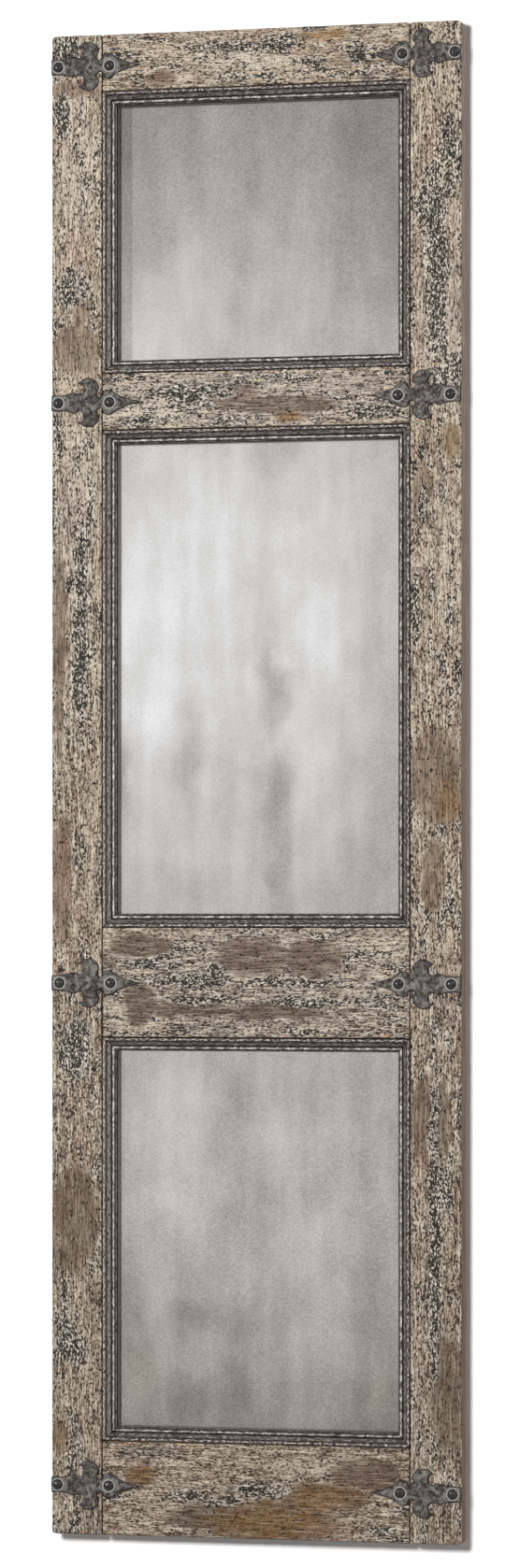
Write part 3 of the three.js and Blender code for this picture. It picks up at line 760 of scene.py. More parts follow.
class Finish:
    """One material, or the world's light, built up node by node."""

    def __init__(self, name, world=None):
        self.owner = world or bpy.data.materials.new(name)
        self.owner.use_nodes = True
        self.tree = self.owner.node_tree
        self.shader = self.tree.nodes["Background" if world else "Principled BSDF"]

    def put(self, socket, value):
        if isinstance(value, bpy.types.NodeSocket):
            self.tree.links.new(value, socket)
        else:
            socket.default_value = value

    def node(self, kind, inputs, **settings):
        node = self.tree.nodes.new("ShaderNode" + kind)
        for name, value in settings.items():
            setattr(node, name, value)
        for key, value in inputs.items():
            self.put(node.inputs[key], value)
        return node

    def place(self):
        """Where a point lies on the mirror, in millimetres."""
        here = self.node("TexCoord", {}).outputs["Object"]
        return self.vector("SCALE", here, scale=1000)

    def vector(self, operation, first, second=None, third=None, scale=None):
        node = self.node("VectorMath", {0: first}, operation=operation)
        if second is not None:
            self.put(node.inputs[1], second)
        if third is not None:
            self.put(node.inputs[2], third)
        if scale is not None:
            self.put(node.inputs["Scale"], scale)
        return node.outputs["Value" if operation in ("LENGTH", "DISTANCE") else "Vector"]

    def maths(self, operation, first, second=0.0, third=0.0):
        return self.node("Math", {0: first, 1: second, 2: third}, operation=operation).outputs[0]

    def plus(self, first, second):
        return self.maths("ADD", first, second)

    def times(self, first, second):
        return self.maths("MULTIPLY", first, second)

    def most(self, first, second):
        return self.maths("MAXIMUM", first, second)

    def axis(self, place, name):
        """One of the place's three numbers."""
        return self.node("SeparateXYZ", {0: place}).outputs[name]

    def fade(self, value, low, high, to_low=0.0, to_high=1.0):
        """Goes smoothly from to_low to to_high as value goes from low to high."""
        inputs = {"Value": value, "From Min": low, "From Max": high, "To Min": to_low, "To Max": to_high}
        return self.node("MapRange", inputs, interpolation_type="SMOOTHSTEP").outputs["Result"]

    def noise(self, place, size, detail=2.0, roughness=0.5, distortion=0.0):
        """Soft noise whose bumps are about size across."""
        inputs = {"Vector": place, "Scale": 1 / size, "Detail": detail, "Roughness": roughness,
                  "Distortion": distortion}
        return self.node("TexNoise", inputs).outputs["Fac"]

    def drawn_out(self, place, grain, share):
        """Lays patterns out longer along the grain: share 0.5 makes them twice as long."""
        return self.vector("MULTIPLY", place, tuple(share if axis == grain else 1 for axis in "XYZ"))

    def wandering(self, place, size, reach):
        """Pushes points to and fro by up to about reach, so that what is laid out there gets a torn rim."""
        push = self.node("TexNoise", {"Vector": place, "Scale": 1 / size, "Detail": 3.0}).outputs["Color"]
        centred = self.vector("SUBTRACT", push, (0.5, 0.5, 0.5))
        return self.vector("ADD", place, self.vector("SCALE", centred, scale=3 * reach))

    def beside(self, value, middle, half_width, blur=0.5):
        """1 where value is within half_width of middle, 0 elsewhere, with a soft rim."""
        off = self.maths("ABSOLUTE", self.maths("SUBTRACT", value, middle))
        return self.fade(off, half_width + blur, half_width - blur)

    def mix(self, amount, first, second, blend="MIX"):
        node = self.node("Mix", {"Factor": amount}, data_type="RGBA", blend_type=blend)
        self.put(node.inputs[6], first)
        self.put(node.inputs[7], second)
        return node.outputs[2]

    def wash(self, colour, look, value, low, high, strength=1.0):
        """Lays a look over a colour, from nothing where value is low to this strength where it is high."""
        return self.mix(self.fade(value, low, high, 0, strength), colour, shade(*look))

    def spots(self, place, areas):
        """How far a point is into the nearest of these areas: 0 at its middle, 1 on its rim."""
        nearest = None
        for x, z, half_width, half_height in areas:
            scaled = self.vector(
                "MULTIPLY_ADD", place, (1 / half_width, 0, 1 / half_height),
                (-x / half_width, 0, -z / half_height),
            )
            reach = self.vector("LENGTH", scaled)
            nearest = reach if nearest is None else self.maths("MINIMUM", nearest, reach)
        return nearest

    def ramp(self, value, stops):
        """A level that passes smoothly through the given (position, level) stops."""
        node = self.node("ValToRGB", {0: value})
        node.color_ramp.interpolation = "B_SPLINE"
        elements = node.color_ramp.elements
        for index, (position, grey) in enumerate(stops):
            element = elements[index] if index < 2 else elements.new(position)
            element.position = position
            element.color = (grey, grey, grey, 1)
        return node.outputs["Color"]

    def attribute(self, name):
        return self.node("Attribute", {}, attribute_name=name).outputs["Fac"]

    def bump(self, height, strength, distance):
        inputs = {"Height": height, "Strength": strength, "Distance": distance * MM}
        return self.node("Bump", inputs).outputs[0]

    def surface(self, **inputs):
        """Sets the shader's own sockets, by their names with _ for spaces."""
        for name, value in inputs.items():
            self.put(self.shader.inputs[name.replace("_", " ")], value)
        return self.owner


def painted(obj, material):
    obj.data.materials.clear()
    obj.data.materials.append(material)


print("finish kit ready")

# %% [markdown]
# ## Distressed paint on the boards
#
# The boards were painted cream over a dark undercoat, rubbed back, and antiqued. Up close that is four
# things: a blotchy tone from cream to tan, rubbed places where brown wood shows, black crackle that runs in
# dashes along the grain and crowds together in bands, and pale flakes between the cracks. The sides and the
# back were only stained. The grain runs up the stiles and along the rails, so there are two versions of one
# recipe, each with its own list of places where the maker rubbed, stained or crackled the paint.

# %% Places on the stiles: middle and half sizes in X and Z, in millimetres
STILE_PLACES = {
    "ashen": [(245, 1636, 30, 110), (-245, 1340, 30, 100)],
    "cream": [(-244, 1830, 26, 90), (-236, 1440, 22, 60), (255, 1560, 22, 60), (262, 1290, 14, 90)],
    "brown": [(-244, 1584, 26, 30), (-268, 1184, 7, 132), (-248, 420, 28, 60), (226, 1382, 10, 37),
              (245, 1012, 30, 52), (236, 560, 24, 50), (262, 200, 20, 60)],
    "reddish": [(-264, 878, 11, 75), (-247, 1933, 30, 9), (-240, 1640, 10, 24), (240, 880, 14, 40)],
    "ochre": [(264, 1452, 13, 20), (256, 980, 20, 26), (-270, 130, 8, 20)],
    "grey": [(-256, 1990, 24, 17), (-247, 650, 24, 44), (-254, 253, 19, 25), (250, 700, 22, 30)],
    "quiet": [(-244, 1584, 24, 26), (-262, 878, 10, 60), (248, 1012, 26, 40), (236, 560, 20, 40)],
    "crackled": [(-264, 1900, 11, 34), (-250, 1668, 24, 28), (-239, 1215, 11, 163), (-247, 650, 26, 47),
                 (-254, 253, 19, 25), (-256, 1984, 24, 22), (245, 1696, 15, 150), (217, 1234, 6, 62),
                 (242, 434, 8, 240), (228, 1370, 8, 30), (262, 1850, 12, 40)],
}
RAIL_PLACES = {
    "ashen": [(0, 740, 200, 66), (0, 1515, 200, 34)],
    "cream": [(181, 769, 26, 38), (-190, 704, 15, 26), (-10, 1962, 60, 10), (-150, 1500, 50, 14),
              (90, 100, 60, 12)],
    "brown": [(-158, 789, 36, 14), (-93, 703, 58, 9), (28, 701, 58, 9), (-155, 711, 18, 25),
              (40, 1505, 60, 10), (-60, 30, 50, 16)],
    "reddish": [(-3, 775, 44, 22), (79, 772, 32, 20), (-127, 1944, 20, 10), (-30, 1520, 30, 10),
                (150, 92, 40, 16)],
    "ochre": [(18, 24, 84, 24), (92, 58, 56, 17), (-158, 82, 17, 11), (96, 1995, 32, 7), (48, 1490, 18, 7)],
    "grey": [(-40, 1538, 50, 8), (-60, 676, 60, 6), (170, 1936, 30, 6), (-150, 112, 50, 8)],
    "quiet": [(-60, 100, 150, 30), (130, 100, 80, 30), (-120, 25, 90, 26), (60, 30, 130, 40),
              (-3, 775, 60, 22), (-90, 700, 60, 8), (120, 695, 60, 12)],
    "crackled": [(-92, 740, 64, 7), (-54, 754, 14, 12), (49, 740, 78, 6), (77, 713, 58, 7),
                 (-74, 716, 45, 7), (89, 803, 19, 5), (-6, 1982, 76, 9), (143, 1963, 16, 12),
                 (-89, 1525, 70, 11), (160, 1494, 38, 11), (-93, 57, 32, 6), (10, 66, 41, 9),
                 (-40, 50, 30, 6), (172, 16, 28, 6)],
}
TONES = (  # how strong at the middle, how far out the solid part reaches, and the colour
    ("ashen", 0.55, 0.9, (164, 158, 154)), ("cream", 0.85, 0.7, (212, 200, 182)),
    ("brown", 0.85, 0.95, (108, 91, 79)), ("reddish", 0.8, 0.9, (122, 98, 85)),
    ("ochre", 0.85, 0.55, (150, 112, 60)), ("grey", 0.75, 0.7, (90, 86, 85)),
)


# %% The tone of the paint, before it cracked
def paint_tone(finish, place, fibre, streak, places, patch):
    """The colour, the place with its patches torn, and how calm it is there: 1 in patches with no crackle."""
    tone = finish.noise(fibre, 26, 3.0, 0.6)
    colour = finish.wash(shade(154, 133, 111), (194, 174, 151), tone, 0.42, 0.58)
    blush = finish.noise(fibre, 40, 2.0)
    colour = finish.wash(colour, (172, 140, 120), blush, 0.52, 0.64, 0.75)
    mossy = finish.noise(finish.vector("ADD", fibre, (700, 0, 700)), 30, 2.0)
    colour = finish.wash(colour, (150, 144, 124), mossy, 0.54, 0.66, 0.4)
    thin = finish.noise(finish.vector("ADD", fibre, (300, 0, 300)), 22, 3.0, 0.65)
    colour = finish.wash(colour, (124, 103, 86), thin, 0.55, 0.65, 0.7)
    torn = finish.wandering(place, 24, 7)
    ragged = finish.fade(streak, 0.3, 0.7, -0.35, 0.35)
    for kind, strength, core, look in TONES:
        reach = finish.plus(finish.spots(torn, places[kind]), ragged)
        colour = finish.mix(finish.fade(reach, 1.4, core, 0, strength * patch), colour, shade(*look))
    height = finish.axis(place, "Z")
    # Painted shade: the paint darkens from 1750 mm down to the bottom, as if the light fell off there.
    lower_shade = finish.wash(shade(255, 255, 255), (205, 199, 193), height, 1750, 60)
    calm = finish.fade(finish.spots(torn, places["brown"] + places["reddish"] + places["ochre"]), 1.45, 1.0)
    return finish.mix(1.0, colour, lower_shade, "MULTIPLY"), torn, calm


# %% Crackle and flakes: sizes in millimetres, across the grain
CRACK_SIZE, GATE_SIZE, CHIP_SIZE, CLUSTER_SIZE, BAND_SIZE = 3.9, 3.2, 1.9, 7, 12


def crackle(finish, fibre, crowd, calm):
    """Dark broken lines and chips, and pale flakes beside them: more with more crowd, fewer where calm."""
    bend = finish.noise(fibre, CRACK_SIZE, 2.0, 0.6)
    off = finish.maths("ABSOLUTE", finish.maths("SUBTRACT", bend, 0.5))
    gate = finish.noise(finish.vector("ADD", fibre, (90, 90, 90)), GATE_SIZE, 1.0)
    open_here = finish.fade(finish.maths("MULTIPLY_ADD", crowd, 0.36, gate), 0.62, 0.7)
    lines = finish.times(finish.fade(off, 0.075, 0.04), open_here)
    chip_noise = finish.noise(finish.vector("ADD", fibre, (40, 0, 40)), CHIP_SIZE, 2.0, 0.6)
    cluster = finish.noise(finish.vector("ADD", fibre, (150, 0, 150)), CLUSTER_SIZE, 2.0)
    gathered = finish.plus(chip_noise, finish.fade(cluster, 0.35, 0.65, -0.035, 0.035))
    quiet = finish.maths("MULTIPLY_ADD", calm, 0.05, gathered)
    chips = finish.fade(finish.maths("MULTIPLY_ADD", crowd, -0.13, quiet), 0.4, 0.36)
    rims = finish.times(finish.fade(off, 0.2, 0.11), finish.fade(crowd, 0.2, 0.8, 0.0, 0.85))
    amount = finish.times(finish.fade(crowd, 0, 0.8, 0.5, 1.0), finish.fade(calm, 0, 1, 1.0, 0.2))
    flecks = finish.times(finish.fade(gathered, 0.54, 0.6), amount)
    return finish.most(lines, chips), finish.most(rims, flecks)


# %% The whole recipe
def board_paint(name, grain, places, patch):
    finish = Finish(name)
    place = finish.place()
    fibre, streak = finish.drawn_out(place, grain, 0.45), finish.drawn_out(place, grain, 0.07)
    brush = finish.noise(streak, 1.3, 2.0, 0.6)
    colour, torn, calm = paint_tone(finish, place, fibre, brush, places, patch)

    pale_strokes = finish.times(finish.fade(brush, 0.51, 0.62, 0, 0.5), finish.fade(calm, 0, 1, 1.0, 0.3))
    colour = finish.mix(pale_strokes, colour, shade(214, 202, 186))
    colour = finish.wash(colour, (66, 54, 46), brush, 0.48, 0.36, 0.8)
    broad = finish.noise(finish.vector("ADD", streak, (50, 0, 50)), 3.4, 3.0, 0.6)
    rubbed = finish.times(finish.fade(broad, 0.53, 0.64, 0, 0.8), finish.fade(calm, 0, 1, 1.0, 0.25))
    colour = finish.mix(rubbed, colour, shade(222, 206, 184))
    colour = finish.wash(colour, (84, 67, 55), broad, 0.46, 0.36, 0.55)
    bands = finish.noise(finish.drawn_out(place, grain, 0.18), BAND_SIZE, 4.0, 0.65)
    crowd = finish.fade(bands, 0.46, 0.68, 0, 0.85)
    quiet = finish.fade(finish.spots(torn, places["quiet"]), 1.3, 0.7)
    crowd = finish.times(crowd, finish.maths("SUBTRACT", 1.0, finish.most(quiet, calm)))
    crowd = finish.most(crowd, finish.fade(finish.spots(torn, places["crackled"]), 1.25, 0.5, 0.12, 0.95))
    dark, pale = crackle(finish, fibre, crowd, calm)
    flake = finish.mix(0.75, colour, shade(240, 232, 218))
    colour = finish.mix(pale, colour, flake)
    colour = finish.mix(finish.times(dark, 0.96), colour, shade(20, 15, 13))

    depth_in = finish.axis(place, "Y")
    bare = finish.fade(depth_in, -16.2, -13.5)
    soaked = finish.noise(streak, 5, 3.0)
    stain = finish.wash(shade(100, 82, 66), (134, 116, 98), soaked, 0.4, 0.62)
    colour = finish.mix(bare, colour, stain)
    raised = finish.maths("SUBTRACT", finish.times(brush, 0.6), dark)
    return finish.surface(
        Base_Color=colour, Roughness=finish.fade(brush, 0.35, 0.65, 0.72, 0.9),
        Normal=finish.bump(raised, 0.5, 0.5), Specular_IOR_Level=0.3,
    )


stile_paint = board_paint("stile_paint", "Z", STILE_PLACES, 0.6)
rail_paint = board_paint("rail_paint", "X", RAIL_PLACES, 1.0)
for wood in stiles:
    painted(wood, stile_paint)
for wood in rails:
    painted(wood, rail_paint)
print("painted", len(stiles) + len(rails), "boards")

# %% [markdown]
# ## The moulding's paint
#
# The strips were painted dark, then the beads were dry-brushed with cream, which catches on every rise. The
# cove kept a smooth mauve grey. Its creases and the edge at the glass are darkened, partly by settled dirt
# and partly as painted shade. The left strips are painted lighter than the others and the inner side of the
# lip is painted pale, both as painted light. The paint has to follow the section, so it reads the distance
# across the strip that was kept on the mesh.


# %% Moulding paint: where the strip darkens across its width, from settled dirt and painted shade, how wide on each side, and how dark
GROOVES = ((0.1, 0.5, 0.9), (5.1, 0.6, 0.85), (10.9, 1.1, 0.92), (15.7, 0.8, 0.93), (18.1, 0.6, 0.95))
LIP_SIDE = 17.6  # past this distance across the strip lies the inner side of its lip


def moulding_paint():
    finish = Finish("moulding_paint")
    place = finish.place()
    inward, along, cream = (finish.attribute(name) for name in ("inward", "along", "cream"))
    run = finish.node("CombineXYZ", {0: finish.times(along, 0.3), 1: inward, 2: 0.0}).outputs[0]
    grit = finish.noise(run, 1.5, 2.0, 0.6)
    streaks = finish.noise(finish.vector("MULTIPLY", run, (0.35, 1, 1)), 1.1, 2.0)
    soft = finish.noise(place, 22, 2.0)
    colour = finish.wash(shade(58, 53, 53), (96, 91, 90), soft, 0.4, 0.6)
    # Painted light: the left strips take more cream and the others a darker outer bead, so the left side
    # looks lit.
    colour = finish.mix(cream, colour, shade(146, 136, 130))
    colour = finish.wash(colour, (176, 168, 160), streaks, 0.53, 0.66, 0.6)
    colour = finish.wash(colour, (52, 43, 44), streaks, 0.47, 0.34, 0.75)
    outer_bead = finish.beside(inward, 2.2, 2.3, 0.4)
    dark_bead = finish.times(outer_bead, finish.fade(cream, 0, 1, 0.85, 0.25))
    colour = finish.mix(dark_bead, colour, shade(66, 53, 55))
    crest = finish.times(finish.beside(inward, 2.3, 1.4, 0.5), finish.fade(grit, 0.5, 0.57))
    colour = finish.mix(crest, colour, shade(222, 214, 204))
    wobble = finish.fade(finish.noise(run, 2.4, 1.0), 0.3, 0.7, -1.1, 1.1)
    rope = finish.beside(finish.plus(inward, wobble), 13.4, 1.2, 0.5)
    broken = finish.noise(finish.vector("MULTIPLY", run, (0.7, 0, 0)), 2.2, 2.0)
    rope = finish.times(rope, finish.fade(broken, 0.42, 0.56, 0.1, 1.0))
    rope = finish.times(rope, finish.fade(finish.noise(place, 80, 2.0), 0.42, 0.58, 0.6, 1.0))
    colour = finish.mix(rope, colour, shade(240, 236, 228))
    colour = finish.wash(colour, (190, 183, 174), grit, 0.56, 0.66, 0.7)
    speck = finish.fade(grit, 0.46, 0.38, 0, 0.9)
    colour = finish.mix(speck, colour, shade(48, 40, 38))
    for middle, half_width, strength in GROOVES:
        # Partly settled dirt, partly painted shade in the creases and at the glass.
        dirt_and_shade = finish.times(finish.beside(inward, middle, half_width, 0.35), strength)
        colour = finish.mix(dirt_and_shade, colour, shade(26, 21, 21))
    # Painted light: the inner side of the lip is painted pale so that it looks lit, and the glass mirrors it
    # as a light line.
    deep = finish.fade(finish.axis(place, "Y"), 0.0, 2.5)
    lit_lip = finish.times(deep, finish.fade(inward, LIP_SIDE - 0.2, LIP_SIDE + 0.2))
    colour = finish.mix(lit_lip, colour, shade(180, 173, 164))
    return finish.surface(
        Base_Color=colour, Roughness=0.7, Normal=finish.bump(grit, 0.35, 0.5), Specular_IOR_Level=0.35,
    )


strip_paint = moulding_paint()
for strip in mouldings:
    painted(strip, strip_paint)
print("painted", len(mouldings), "mouldings")

# %% [markdown]
# ## The antiqued mirror
#
# Old silvering is cloudy: it scatters more than it reflects, with bright and smoky places and a fine
# speckle. The panes are flat CAD solids and need no new shape, only this finish: a metal that is rough
# enough to blur what it reflects, whose colour comes from a brightness by height and soft clouds placed pane
# by pane. These are partly the silver's own tarnish and partly painted reflection. A darker strip at the
# left of the top pane is a painted reflection of the moulding's edge.

# %% Tarnish and painted reflection: middle and half sizes in X and Z, in millimetres, and how much lighter or darker
CLOUDS = [
    (-140, 1620, 90, 90, 0.04), (-90, 1720, 60, 60, 0.02), (160, 1740, 80, 160, -0.03),
    (-150, 1230, 45, 200, 0.035), (-70, 1330, 50, 160, 0.025), (-112, 1095, 70, 60, 0.03),
    (85, 1205, 36, 80, 0.03), (165, 1150, 60, 330, -0.03), (20, 1440, 40, 40, -0.05),
    (18, 1130, 18, 60, -0.08), (4, 1230, 20, 110, -0.03), (-96, 1045, 22, 85, -0.065),
    (26, 985, 18, 50, -0.075), (8, 1000, 50, 120, -0.02), (28, 880, 16, 60, -0.06),
    (-190, 1010, 12, 60, -0.07), (60, 1040, 30, 120, 0.01), (170, 1120, 22, 110, -0.02),
    (-120, 560, 60, 70, 0.04), (-104, 460, 44, 60, 0.05), (20, 520, 50, 60, 0.02),
    (-28, 590, 26, 40, -0.035), (-10, 440, 40, 70, -0.03), (60, 400, 60, 50, 0.03),
    (-46, 290, 44, 34, -0.05), (-100, 290, 26, 30, -0.04), (-186, 300, 22, 90, -0.07),
    (74, 255, 50, 60, 0.02), (-97, 180, 30, 34, -0.04), (-34, 200, 26, 34, -0.04),
    (150, 330, 40, 60, -0.03), (176, 480, 20, 120, 0.01),
]
OLIVE = [(-160, 218, 40, 40), (172, 200, 34, 44), (150, 1915, 50, 16), (-140, 1925, 60, 10)]
LEVELS = [  # height in millimetres, and how bright the pane is there: partly tarnish, partly painted reflection
    (130, 0.50), (400, 0.745), (700, 0.70), (900, 0.745),
    (1230, 0.90), (1480, 0.76), (1680, 0.72), (1900, 0.58),
]
# Where the painted reflection of the moulding's edge ends across the top pane, and its foot, in millimetres
REFLECTION_EDGE, REFLECTION_FOOT = -173.6, 1553
DIMMER_FROM, DIMMER_TO = 50, 190


def antique_silver():
    finish = Finish("antique_silver")
    place = finish.place()
    torn = finish.wandering(place, 70, 20)
    height = finish.axis(torn, "Z")
    level = finish.ramp(finish.maths("DIVIDE", height, HEIGHT), [(z / HEIGHT, value) for z, value in LEVELS])
    # Each spot makes the pane lighter or darker: partly tarnish, partly painted reflection.
    for x, z, half_width, half_height, amount in CLOUDS:
        reach = finish.spots(torn, [(x, z, half_width, half_height)])
        level = finish.plus(level, finish.fade(reach, 1.5, 0.1, 0, 1.5 * amount))
    across, up = finish.axis(place, "X"), finish.axis(place, "Z")
    # Painted reflection of the moulding's edge: a darker strip along the left of the top pane.
    edge_reflection = finish.fade(up, REFLECTION_FOOT, REFLECTION_FOOT + 1, 0, -0.08)
    edge_reflection = finish.times(finish.fade(across, REFLECTION_EDGE + 0.5, REFLECTION_EDGE - 0.5), edge_reflection)
    level = finish.plus(level, edge_reflection)
    level = finish.plus(level, finish.fade(across, DIMMER_FROM, DIMMER_TO, 0, -0.045))
    smoke = finish.noise(finish.vector("MULTIPLY", place, (1, 1, 0.7)), 44, 3.0, 0.5)
    level = finish.plus(level, finish.fade(smoke, 0.3, 0.7, -0.022, 0.022))
    columns = finish.noise(finish.vector("MULTIPLY", place, (1, 1, 0.12)), 24, 2.0, 0.5)
    level = finish.plus(level, finish.fade(columns, 0.3, 0.7, -0.02, 0.02))
    tilted = finish.node("VectorRotate", {"Vector": place, "Angle": 0.2}, rotation_type="Y_AXIS").outputs[0]
    grain = finish.noise(finish.vector("MULTIPLY", tilted, (0.5, 1, 1)), 1.3, 2.0, 0.9)
    rough_here = finish.fade(level, 0.85, 0.6, 0.035, 0.07)
    level = finish.plus(level, finish.times(finish.fade(grain, 0.32, 0.68, -1, 1), rough_here))
    lit = finish.maths("POWER", level, 2.2)
    tint = finish.wash(shade(255, 251, 247), (252, 252, 252), level, 0.8, 0.88)
    stained = finish.fade(finish.spots(torn, OLIVE), 1.5, 0.3)
    tint = finish.mix(stained, tint, shade(254, 252, 238))
    grey = finish.node("CombineColor", {0: lit, 1: lit, 2: lit}).outputs[0]
    colour = finish.mix(1.0, grey, tint, "MULTIPLY")
    return finish.surface(
        Base_Color=colour, Metallic=1.0, Roughness=finish.fade(grain, 0.3, 0.7, 0.15, 0.22),
        Normal=finish.bump(grain, 0.05, 0.2),
    )


silver = antique_silver()
for pane in OPENINGS:
    painted(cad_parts[pane + "_pane"], silver)
print("silvered", len(OPENINGS), "panes")

# %% [markdown]
# ## Iron, nails, zinc and the back panel
#
# Forged iron is nearly black, browner where it is rough, and rubbed to grey near the nails. Its lighter
# patches are partly wear and partly painted sheen; a thin painted highlight runs just inside its rims, and
# painted shade darkens the rims and the foot of each nail head. The nails are the same iron under dark
# lacquer, with a sharp highlight. The hangers and screws are zinc plated, mottled by their coating. The back
# panel is plain fibre board.


# %% Forged iron
def forged_iron():
    finish = Finish("forged_iron")
    place = finish.place()
    from_nail, from_edge = finish.attribute("from_nail"), finish.attribute("from_edge")
    patina = finish.noise(place, 6, 4.0, 0.65)
    colour = finish.wash(shade(40, 35, 35), (108, 103, 98), patina, 0.4, 0.62)
    # Lighter patches: partly worn iron, partly painted sheen on the hammered leaves.
    wear_and_sheen = finish.noise(place, 11, 2.0, 0.5, 1.2)
    colour = finish.wash(colour, (148, 146, 136), wear_and_sheen, 0.52, 0.64, 0.8)
    rubbed = finish.plus(from_nail, finish.fade(patina, 0.3, 0.7, 4, -4))
    colour = finish.wash(colour, (138, 133, 129), rubbed, 15, 9, 0.75)
    pits = finish.noise(place, 1.6, 2.0, 0.6)
    colour = finish.wash(colour, (40, 34, 34), pits, 0.46, 0.36, 0.75)
    colour = finish.wash(colour, (168, 163, 158), pits, 0.56, 0.66, 0.45)
    bright_ring = finish.times(finish.beside(from_nail, 7.9, 0.5, 0.4), 0.9)
    colour = finish.mix(bright_ring, colour, shade(206, 203, 199))
    # Painted shade round the foot of each nail head.
    colour = finish.wash(colour, (24, 20, 18), from_nail, 7.3, 6.9)
    # A thin painted highlight just inside the rim, where the plate rounds over.
    rim_highlight = finish.fade(wear_and_sheen, 0.4, 0.6, 0, 0.7)
    rim_highlight = finish.times(finish.beside(from_edge, 2.3, 0.4, 0.35), rim_highlight)
    colour = finish.mix(rim_highlight, colour, shade(160, 155, 150))
    # Painted shade: darker towards the rim where the plate rounds over, darkest on the rim where it meets the
    # wood.
    colour = finish.wash(colour, (36, 30, 29), from_edge, 4.5, 1.5, 0.45)
    colour = finish.wash(colour, (20, 15, 15), from_edge, 2.0, 1.2, 0.95)
    return finish.surface(
        Base_Color=colour, Metallic=0.35, Roughness=finish.fade(patina, 0.3, 0.7, 0.6, 0.45),
        Normal=finish.bump(pits, 0.4, 0.4),
    )


# %% Lacquered nails, zinc and board
def nail_lacquer():
    finish = Finish("nail_lacquer")
    wear = finish.noise(finish.place(), 2.5, 3.0, 0.6)
    colour = finish.wash(shade(16, 13, 14), (74, 66, 63), wear, 0.5, 0.7)
    return finish.surface(
        Base_Color=colour, Metallic=0.0, Roughness=finish.fade(wear, 0.4, 0.7, 0.14, 0.34),
        Specular_IOR_Level=0.45, Normal=finish.bump(wear, 0.12, 0.3),
    )


def zinc_plate():
    finish = Finish("zinc_plate")
    place = finish.place()
    spangle = finish.noise(place, 2.5, 3.0, 0.6)
    colour = finish.wash(shade(150, 150, 146), (196, 196, 192), spangle, 0.35, 0.65)
    dull = finish.noise(place, 9, 2.0)
    colour = finish.wash(colour, (132, 126, 116), dull, 0.5, 0.7, 0.5)
    return finish.surface(
        Base_Color=colour, Metallic=1.0, Roughness=finish.fade(spangle, 0.3, 0.7, 0.3, 0.48),
        Normal=finish.bump(spangle, 0.1, 0.2),
    )


def fibre_board():
    finish = Finish("fibre_board")
    place = finish.place()
    fibres = finish.noise(finish.vector("MULTIPLY", place, (1, 1, 0.35)), 1.6, 3.0, 0.65)
    cloudy = finish.noise(place, 90, 3.0)
    colour = finish.wash(shade(120, 88, 60), (142, 107, 76), cloudy, 0.35, 0.65)
    colour = finish.wash(colour, (84, 60, 40), fibres, 0.46, 0.3, 0.6)
    colour = finish.wash(colour, (172, 138, 102), fibres, 0.56, 0.7, 0.5)
    return finish.surface(Base_Color=colour, Roughness=0.8, Normal=finish.bump(fibres, 0.15, 0.3))


iron, lacquer, zinc, fibre = forged_iron(), nail_lacquer(), zinc_plate(), fibre_board()
for plate in straps:
    painted(plate, iron)
for nail in nails:
    painted(nail, lacquer)
for piece in screw_pieces + hangers:
    painted(piece, zinc)
painted(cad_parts["back_panel"], fibre)
print("iron, lacquer, zinc and board in place")

# %% [markdown]
# ## The room and the light
#
# The mirror hangs close to a white wall, a little above a pale floor. Only the piece of wall round the
# mirror is there, and only the camera sees it, and only from the front, so that the other sides can be
# looked at too. The floor and the sky are bright to the camera and to what mirrors them, and dim to the
# mirror itself. A broad lamp from the front, a little left and above, gives the narrow soft shadow at the
# right and below. Lamps that light the mirror alone fill its sides without washing that shadow out.

# %% Places of the stage in metres, and its levels, where 1 is white
WALL_SIZE, WALL_DEPTH, WALL_HEIGHT = 4, 0.0248, 1
FLOOR_SIZE, FLOOR_HEIGHT = 30, -0.06
WALL_KEPT = (0, 1000, 700, 1400)  # middle and half sizes in X and Z, in millimetres; past them it fades away
WALL_GREY, WALL_EXTRA, FLOOR_GREY = 0.85, 0.5, 0.4
FLOOR_GLOW, FLOOR_GLOW_TO_CAMERA, SKY_ON_THINGS = 0.62, 0.1, 0.12
AIM = (0, 0, 1.0)


# %% Floor, wall and world
def seen(finish):
    """1 for the camera and for what is mirrored or seen through glass, 0 for light that falls on things."""
    rays = finish.node("LightPath", {}).outputs
    return finish.most(rays["Is Camera Ray"], finish.most(rays["Is Glossy Ray"], rays["Is Transmission Ray"]))


def backdrop(name, size, location, rotation, grey):
    bpy.ops.object.select_all(action="DESELECT")
    bpy.ops.mesh.primitive_plane_add(size=size, location=location, rotation=rotation)
    sheet = named(name)
    finish = Finish(name)
    finish.surface(Base_Color=(grey, grey, grey, 1), Roughness=0.9, Specular_IOR_Level=0.0)
    painted(sheet, finish.owner)
    return sheet, finish


def shown(finish, closure):
    finish.put(finish.tree.nodes["Material Output"].inputs["Surface"], closure)


def added(finish, closure):
    return finish.node("AddShader", {0: finish.shader.outputs[0], 1: closure}).outputs[0]


upright = (math.radians(90), 0, 0)
wall, plaster = backdrop("wall", WALL_SIZE, (0, WALL_DEPTH, WALL_HEIGHT), upright, WALL_GREY)
for kind in ("diffuse", "glossy", "transmission", "shadow"):
    setattr(wall, "visible_" + kind, False)
extra = plaster.node("BsdfDiffuse", {"Color": (WALL_EXTRA, WALL_EXTRA, WALL_EXTRA, 1)}).outputs[0]
from_middle = plaster.spots(plaster.place(), [WALL_KEPT])
behind = plaster.node("NewGeometry", {}).outputs["Backfacing"]
gone = plaster.most(plaster.fade(from_middle, 1.0, 1.35), behind)
clear = plaster.node("BsdfTransparent", {}).outputs[0]
shown(plaster, plaster.node("MixShader", {0: gone, 1: added(plaster, extra), 2: clear}).outputs[0])

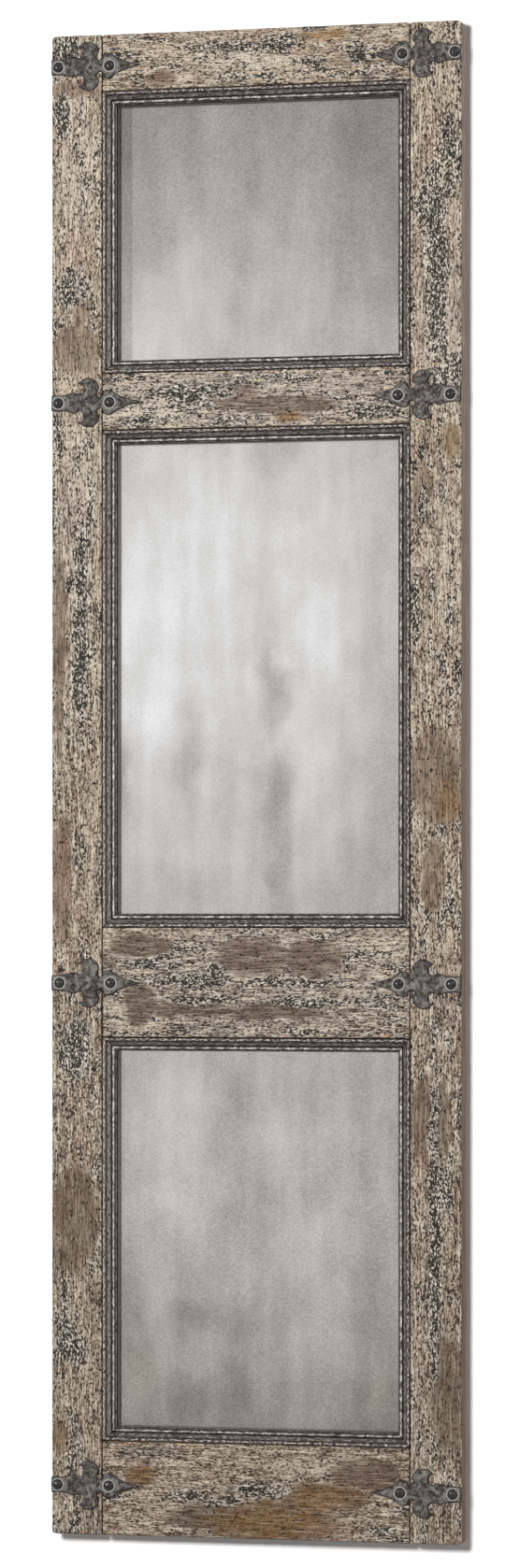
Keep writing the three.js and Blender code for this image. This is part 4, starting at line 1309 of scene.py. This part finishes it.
floor, paving = backdrop("floor", FLOOR_SIZE, (0, 0, FLOOR_HEIGHT), (0, 0, 0), FLOOR_GREY)
to_camera = paving.node("LightPath", {}).outputs["Is Camera Ray"]
glow = paving.times(seen(paving), FLOOR_GLOW)
glow = paving.maths("MULTIPLY_ADD", to_camera, FLOOR_GLOW_TO_CAMERA, glow)
shown(paving, added(paving, paving.node("Emission", {"Strength": glow}).outputs[0]))

bpy.context.scene.world = bpy.data.worlds.new("studio")
sky = Finish("studio", world=bpy.context.scene.world)
sky.surface(Color=(1, 1, 1, 1), Strength=sky.fade(seen(sky), 0, 1, SKY_ON_THINGS, 1))


# %% Lamps
def lamp(name, location, size, power, mirrored=True, only_on=None):
    """A square lamp aimed at the middle of the mirror; it may light one collection of pieces alone."""
    data = bpy.data.lights.new(name, "AREA")
    data.shape = "SQUARE"
    data.size = size
    data.energy = power
    obj = bpy.data.objects.new(name, data)
    obj.location = location
    obj.rotation_euler = (Vector(AIM) - Vector(location)).to_track_quat("-Z", "Y").to_euler()
    obj.visible_glossy = mirrored
    bpy.context.scene.collection.objects.link(obj)
    if only_on:
        obj.light_linking.receiver_collection = only_on
    return obj


def gathered_in(name, pieces):
    collection = bpy.data.collections.new(name)
    for piece in pieces:
        collection.objects.link(piece)
    return collection


lamp("key", (-0.55, -5.2, 1.85), 0.8, 215, mirrored=False)
lamp("back_fill", (1.8, 4.2, 2.6), 1.6, 90)

# %% Soft light from both sides and above, for the mirror alone, so that the wall keeps its shadow
new_pieces = stiles + rails + mouldings + straps + nails + screw_pieces + hangers
mirror_pieces = gathered_in("mirror_pieces", new_pieces + list(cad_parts.values()))
fills = {"right_fill": (5, -0.6, 1), "left_fill": (-5, -0.6, 1), "top_fill": (0, -0.6, 6)}
for name, location in fills.items():
    lamp(name, location, 2, 45, mirrored=False, only_on=mirror_pieces)

# %% Glints for the domes of the nails alone
glinting_nails = gathered_in("glinting_nails", nails)
for name, location, size, power in (
    ("left_glint", (-2.6, -4.2, 1.7), 1.2, 110), ("right_glint", (3.6, -2.4, 3.0), 1.0, 40),
):
    glint = lamp(name, location, size, power, only_on=glinting_nails)
    glint.visible_diffuse = False
bpy.context.scene.view_settings.view_transform = "Standard"
print("stage and lamps ready")
